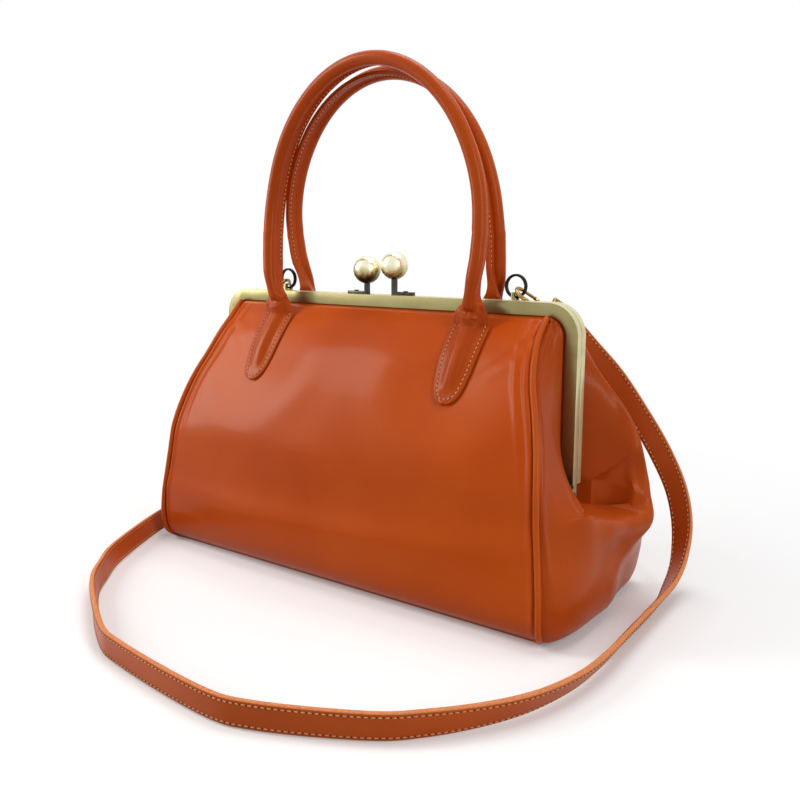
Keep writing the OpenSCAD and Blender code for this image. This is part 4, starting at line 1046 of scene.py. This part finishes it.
# needle holes are drawn as dark beads on the leather: painted shade in the holes
needle_hole_painted_shade = plain("needle_hole", (72, 26, 8), (36, 12, 4), 900, 0.8)
rope_cotton = plain("cotton_rope", (226, 212, 180), (190, 172, 136), 300, 0.85, 0.5)
grey_board = plain("pressed_board", (160, 132, 98), (128, 102, 74), 220, 0.8)
packing_paper = plain("paper_packing", (214, 196, 158), (186, 166, 128), 260, 0.8)

# %% Antique brass and dark metal
along_frame, even = (0.25, 1, 1), (1, 1, 1)

def antique(name, bright, mid, deep, roughness, brushed=even, metallic=0.95, patina_scale=26):
    f = Finish(name, IOR=1.5, Metallic=metallic)
    streak = f.noise(140, 3, 0.6, f.stretched(*brushed))
    patina = f.noise(patina_scale, 5, 0.6)
    tone = (streak * 0.5 + patina * 0.5 * 1.3 - 0.1).clamp()
    rough = roughness + (0.5 - streak) * 0.12 + (0.5 - patina) * 0.12
    f.feed(Base_Color=f.ramp(tone, (0.18, deep), (0.5, mid), (0.82, bright)), Roughness=rough,
        Normal=f.bump(streak, 0.06, 0.0006))
    return f.material

frame_brass = antique("olive_brass", (174, 164, 116), (156, 146, 100), (132, 121, 80), 0.36, along_frame)
# a pale brass for the frame's outward-facing rims: a painted highlight for the light they catch, partly standing
# for wear
rim_highlight_brass = antique("rim_highlight_brass", (236, 230, 186), (222, 214, 166), (196, 186, 138), 0.32, along_frame,
    metallic=0.5)
hook_brass = antique("yellow_brass", (206, 176, 112), (170, 138, 80), (96, 74, 40), 0.24, patina_scale=150)
dark_metal = antique("dark_plated_steel", (116, 110, 98), (74, 70, 62), (40, 37, 32), 0.28, patina_scale=180)
black_wire = antique("black_wire", (60, 58, 55), (36, 34, 32), (18, 17, 16), 0.3, patina_scale=180)

# %% Clasp balls: brushed brass with brown streaks, lighter on top as a painted highlight and dark on the underside as painted shade
def patina_and_painted_light_ball():
    f = Finish("aged_brass_ball_painted_light", IOR=1.5, Metallic=0.85)
    streak = f.noise(230, 4, 0.65, f.stretched(1, 1, 0.14), 0.6)
    patina = f.noise(75, 4, 0.6)
    height = f.node("SeparateXYZ", output=2, Vector=f.place())
    low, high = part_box("front_clasp_ball")
    share = f.node("MapRange", Value=height, From_Min=float(low[2]), From_Max=float(high[2]))
    # the share of height lightens the ball's top and darkens its underside: painted highlight and painted shade,
    # over real streaks and patina
    tone = (share * 1.5 + streak * 0.7 + patina * 0.5 - 0.78).clamp()
    colour = f.ramp(tone, (0.05, (44, 34, 22)), (0.3, (122, 104, 64)), (0.55, (206, 192, 140)),
        (0.85, (246, 240, 206)))
    f.feed(Base_Color=colour, Roughness=streak * 0.2 + 0.18, Normal=f.bump(streak, 0.25, 0.0008))
    return f.material

ball_brass = patina_and_painted_light_ball()
print("materials:", len(bpy.data.materials))

# %% Painting a piece, and some faces of it
def paint(obj, material):
    obj.data.materials.clear()
    obj.data.materials.append(material)

def paint_faces(obj, material, chosen):
    """Give a second material to the faces that a test of their centres and normals picks."""
    obj.data.materials.append(material)
    count = len(obj.data.polygons)
    centres, normals = np.empty(count * 3), np.empty(count * 3)
    obj.data.polygons.foreach_get("center", centres)
    obj.data.polygons.foreach_get("normal", normals)
    picked = chosen(centres.reshape(-1, 3) * 1000, normals.reshape(-1, 3))
    obj.data.polygons.foreach_set("material_index", picked.astype(int))
    print(obj.name, "second finish on", int(picked.sum()), "faces")

# %% The finish of each piece
steel = [obj for node, obj in metal.items() if "arm" in node or "pin" in node]
brass = [obj for node, obj in [*metal.items(), *hooks.items()]
    if "frame" in node or "eye" in node or "rivet" in node]
hook_parts = [obj for node, obj in hooks.items() if "rivet" not in node]
threads, holes = zip(*handle_threads.values())
for material, objects in ((tan, (front_panel, back_panel)), (gusset_tan_painted_shade, gussets.values()),
        (piping_tan, (front_piping, back_piping)), (handle_tan, handles.values()),
        (strap_tan, (strap, base_leather)), (waxed_thread, (*threads, strap_threads)),
        (needle_hole_painted_shade, (*holes, strap_holes)), (lining_cloth, (front_lining, back_lining, lining_tub)),
        (grey_board, (base_board,)), (rope_cotton, ropes.values()), (frame_brass, brass), (dark_metal, steel),
        (ball_brass, clasp_balls), (black_wire, split_rings.values()), (hook_brass, hook_parts),
        (packing_paper, [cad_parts[node] for node in ("front_packing", "back_packing")])):
    for obj in objects:
        paint(obj, material)

# %% Painted highlight on the frame's outer rims, and cut edges of the strap
def outer_rim(centres, normals):
    core = np.stack([np.clip(centres[:, 0], -130, 130), np.minimum(centres[:, 2], 172)], 1)
    out = centres[:, [0, 2]] - core
    out /= np.maximum(np.linalg.norm(out, axis=1), 1e-6)[:, None]
    return np.sum(out * normals[:, [0, 2]], 1) > 0.3

def strap_side(centres, normals):
    near = np.array([np.argmin(np.sum((strap_line - c) ** 2, 1)) for c in centres])
    across = np.abs(np.sum((centres - strap_line[near]) * side_way[near], 1))
    return (across > 6.9) & (np.abs(np.sum(normals * face_way[near], 1)) < 0.75)

# the frame's faces that point outwards take the pale brass as a painted highlight
for node in ("front_frame", "back_frame"):
    paint_faces(metal[node], rim_highlight_brass, outer_rim)
paint_faces(strap, cut_edge, strap_side)

# %% [markdown]
# ## What moves with what
# The front half swings on the hinge, and leather that crosses the hinge bends between the two halves; here that
# leather and the handles are only set in place. The front metal rides on the front half, the hook gates and the
# ropes on bodies of their own, and the rest on the bag.

# %% Leather across the hinge set in place, all that rides on the bag, and the solids they stand for hidden
def settle(obj, slot, *nodes):
    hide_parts(*nodes)

for obj, slot, *nodes in (
        (front_panel, "panel_leather", "front_panel_lower", "front_panel_fold", "front_panel_upper"),
        (front_piping, "piping_leather", "front_piping_lower", "front_piping_fold_right",
            "front_piping_fold_left", "front_piping_upper_right", "front_piping_upper_left"),
        (gussets["front", "right"], "gusset_leather", "front_gusset_right"),
        (gussets["front", "left"], "gusset_leather", "front_gusset_left"),
        (front_lining, "lining_cloth", "front_lining")):
    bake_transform(obj)
    settle(obj, slot, *nodes)
for obj, slot, *nodes in (
        (back_panel, "panel_leather", "back_panel"), (back_piping, "piping_leather", "back_piping"),
        (gussets["rear", "right"], "gusset_leather", "lower_gusset_right", "back_gusset_right"),
        (gussets["rear", "left"], "gusset_leather", "lower_gusset_left", "back_gusset_left"),
        (back_lining, "lining_cloth", "back_lining"), (lining_tub, "lining_cloth", "lining_tub"),
        (base_leather, "panel_leather", "base_leather"), (base_board, "board", "base_board"),
        (strap, "strap_leather", "shoulder_strap")):
    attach(obj, "bag")
    settle(obj, slot, *nodes)
for obj in (strap_threads, strap_holes):
    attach(obj, "bag")

# %% Handles and their threads set in place, and each rope riding on its handle
for name, y, low_body in (("front", -0.022, "front_half"), ("back", 0.0144, "bag")):
    for obj in (handles[name],) + handle_threads[name]:
        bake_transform(obj)
    ends = [f"{name}_{part}_{side}" for part in ("tab", "neck") for side in ("right", "left")]
    settle(handles[name], "handle_leather", f"{name}_handle_cover", *ends)
    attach(ropes[name], f"{name}_handle")
    settle(ropes[name], "rope_core", f"{name}_handle_core")

# %% Metal parts and hooks
for node, obj in metal.items():
    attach(obj, "front_half" if node.startswith("front") else "bag")
    settle(obj, "frame_metal" if "frame" in node or "eye" in node else "dark_metal", node)
for obj, node in zip(clasp_balls, ("front_clasp_ball", "back_clasp_ball")):
    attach(obj, "front_half" if node.startswith("front") else "bag")
    settle(obj, "ball_brass", node)
for side, obj in split_rings.items():
    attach(obj, "bag")
    settle(obj, "black_wire", f"split_ring_{side}")
for node, obj in hooks.items():
    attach(obj, node.replace("hook_gate_", "") + "_gate" if "gate" in node else "bag")
    settle(obj, "rivet_metal" if "rivet" in node else "hook_brass", node)

# %% [markdown]
# ## Floor and light
# The bag stands on a white table in a white room. Large soft lamps give long quiet highlights, and the
# rays that the camera and the metal see come back white, so the light on the leather stays plain.

# %% Floor
bpy.ops.object.select_all(action="DESELECT")
bpy.ops.mesh.primitive_plane_add(size=8, location=(0, 0, -0.0003))
floor = bpy.context.object
floor.name = "floor"
bpy.ops.object.transform_apply(location=True, rotation=True, scale=True)

def seen_directly(finish):
    """1 for rays that come straight from the camera, from shiny metal or through glass."""
    camera, glossy, through = [finish.node("LightPath", output=f"Is {kind} Ray")
        for kind in ("Camera", "Glossy", "Transmission")]
    return camera.math("MAXIMUM", camera.math("MAXIMUM", camera, glossy), through)

# the table stays white to the horizon, and only its middle takes the shadow of the bag
table = Finish("white_table", Roughness=0.7, Specular_IOR_Level=0.2, Emission_Strength=0.13)
direct = seen_directly(table)
table.feed(Base_Color=table.mix(direct, (0.42, 0.41, 0.40), (0.94, 0.94, 0.94)),
    Emission_Color=table.mix(direct, (0, 0, 0), (1, 1, 1)))
distance = table.node("VectorMath", output="Value", settings={"operation": "LENGTH"}, i0=table.place())
far = table.node("MapRange", Value=distance, From_Min=0.2, From_Max=0.5)
white = table.node("Emission", Color=(1, 1, 1, 1), Strength=1.0)
shown = table.node("MixShader", i0=far * direct, i1=Wire(table.tree, table.shader.outputs[0]), i2=white)
table.tree.links.new(shown.socket, table.tree.nodes["Material Output"].inputs["Surface"])
paint(floor, table.material)

# %% Room
class Room(Finish):
    def __init__(self, name):
        self.world = bpy.data.worlds.new(name)
        self.world.use_nodes = True
        self.tree = self.world.node_tree

room = Room("room")
bpy.context.scene.world = room.world
lit_by = room.node("Background", Color=(1, 1, 1, 1), Strength=0.26)
seen_as = room.node("Background", Color=(1, 1, 1, 1), Strength=1.0)
shown = room.node("MixShader", i0=seen_directly(room), i1=lit_by, i2=seen_as)
room.tree.links.new(shown.socket, room.tree.nodes["World Output"].inputs["Surface"])

# %% Soft lamps
def soft_lamp(name, place, aim, size, power):
    data = bpy.data.lights.new(name, "AREA")
    data.shape, data.size, data.size_y, data.energy = "RECTANGLE", size[0], size[1], power
    lamp = bpy.data.objects.new(name, data)
    lamp.location = place
    lamp.rotation_euler = (Vector(aim) - Vector(place)).to_track_quat("-Z", "Y").to_euler()
    bpy.context.scene.collection.objects.link(lamp)
    return lamp

soft_lamp("overhead", (0.05, 0.2, 1.2), (0, -0.02, 0.05), (0.9, 0.6), 6.5)
soft_lamp("left_window", (-1.1, -0.75, 0.75), (0, 0, 0.12), (0.4, 1.1), 12.5)
soft_lamp("right_window", (1.05, -0.35, 0.55), (0, 0, 0.12), (0.2, 0.8), 4.5)
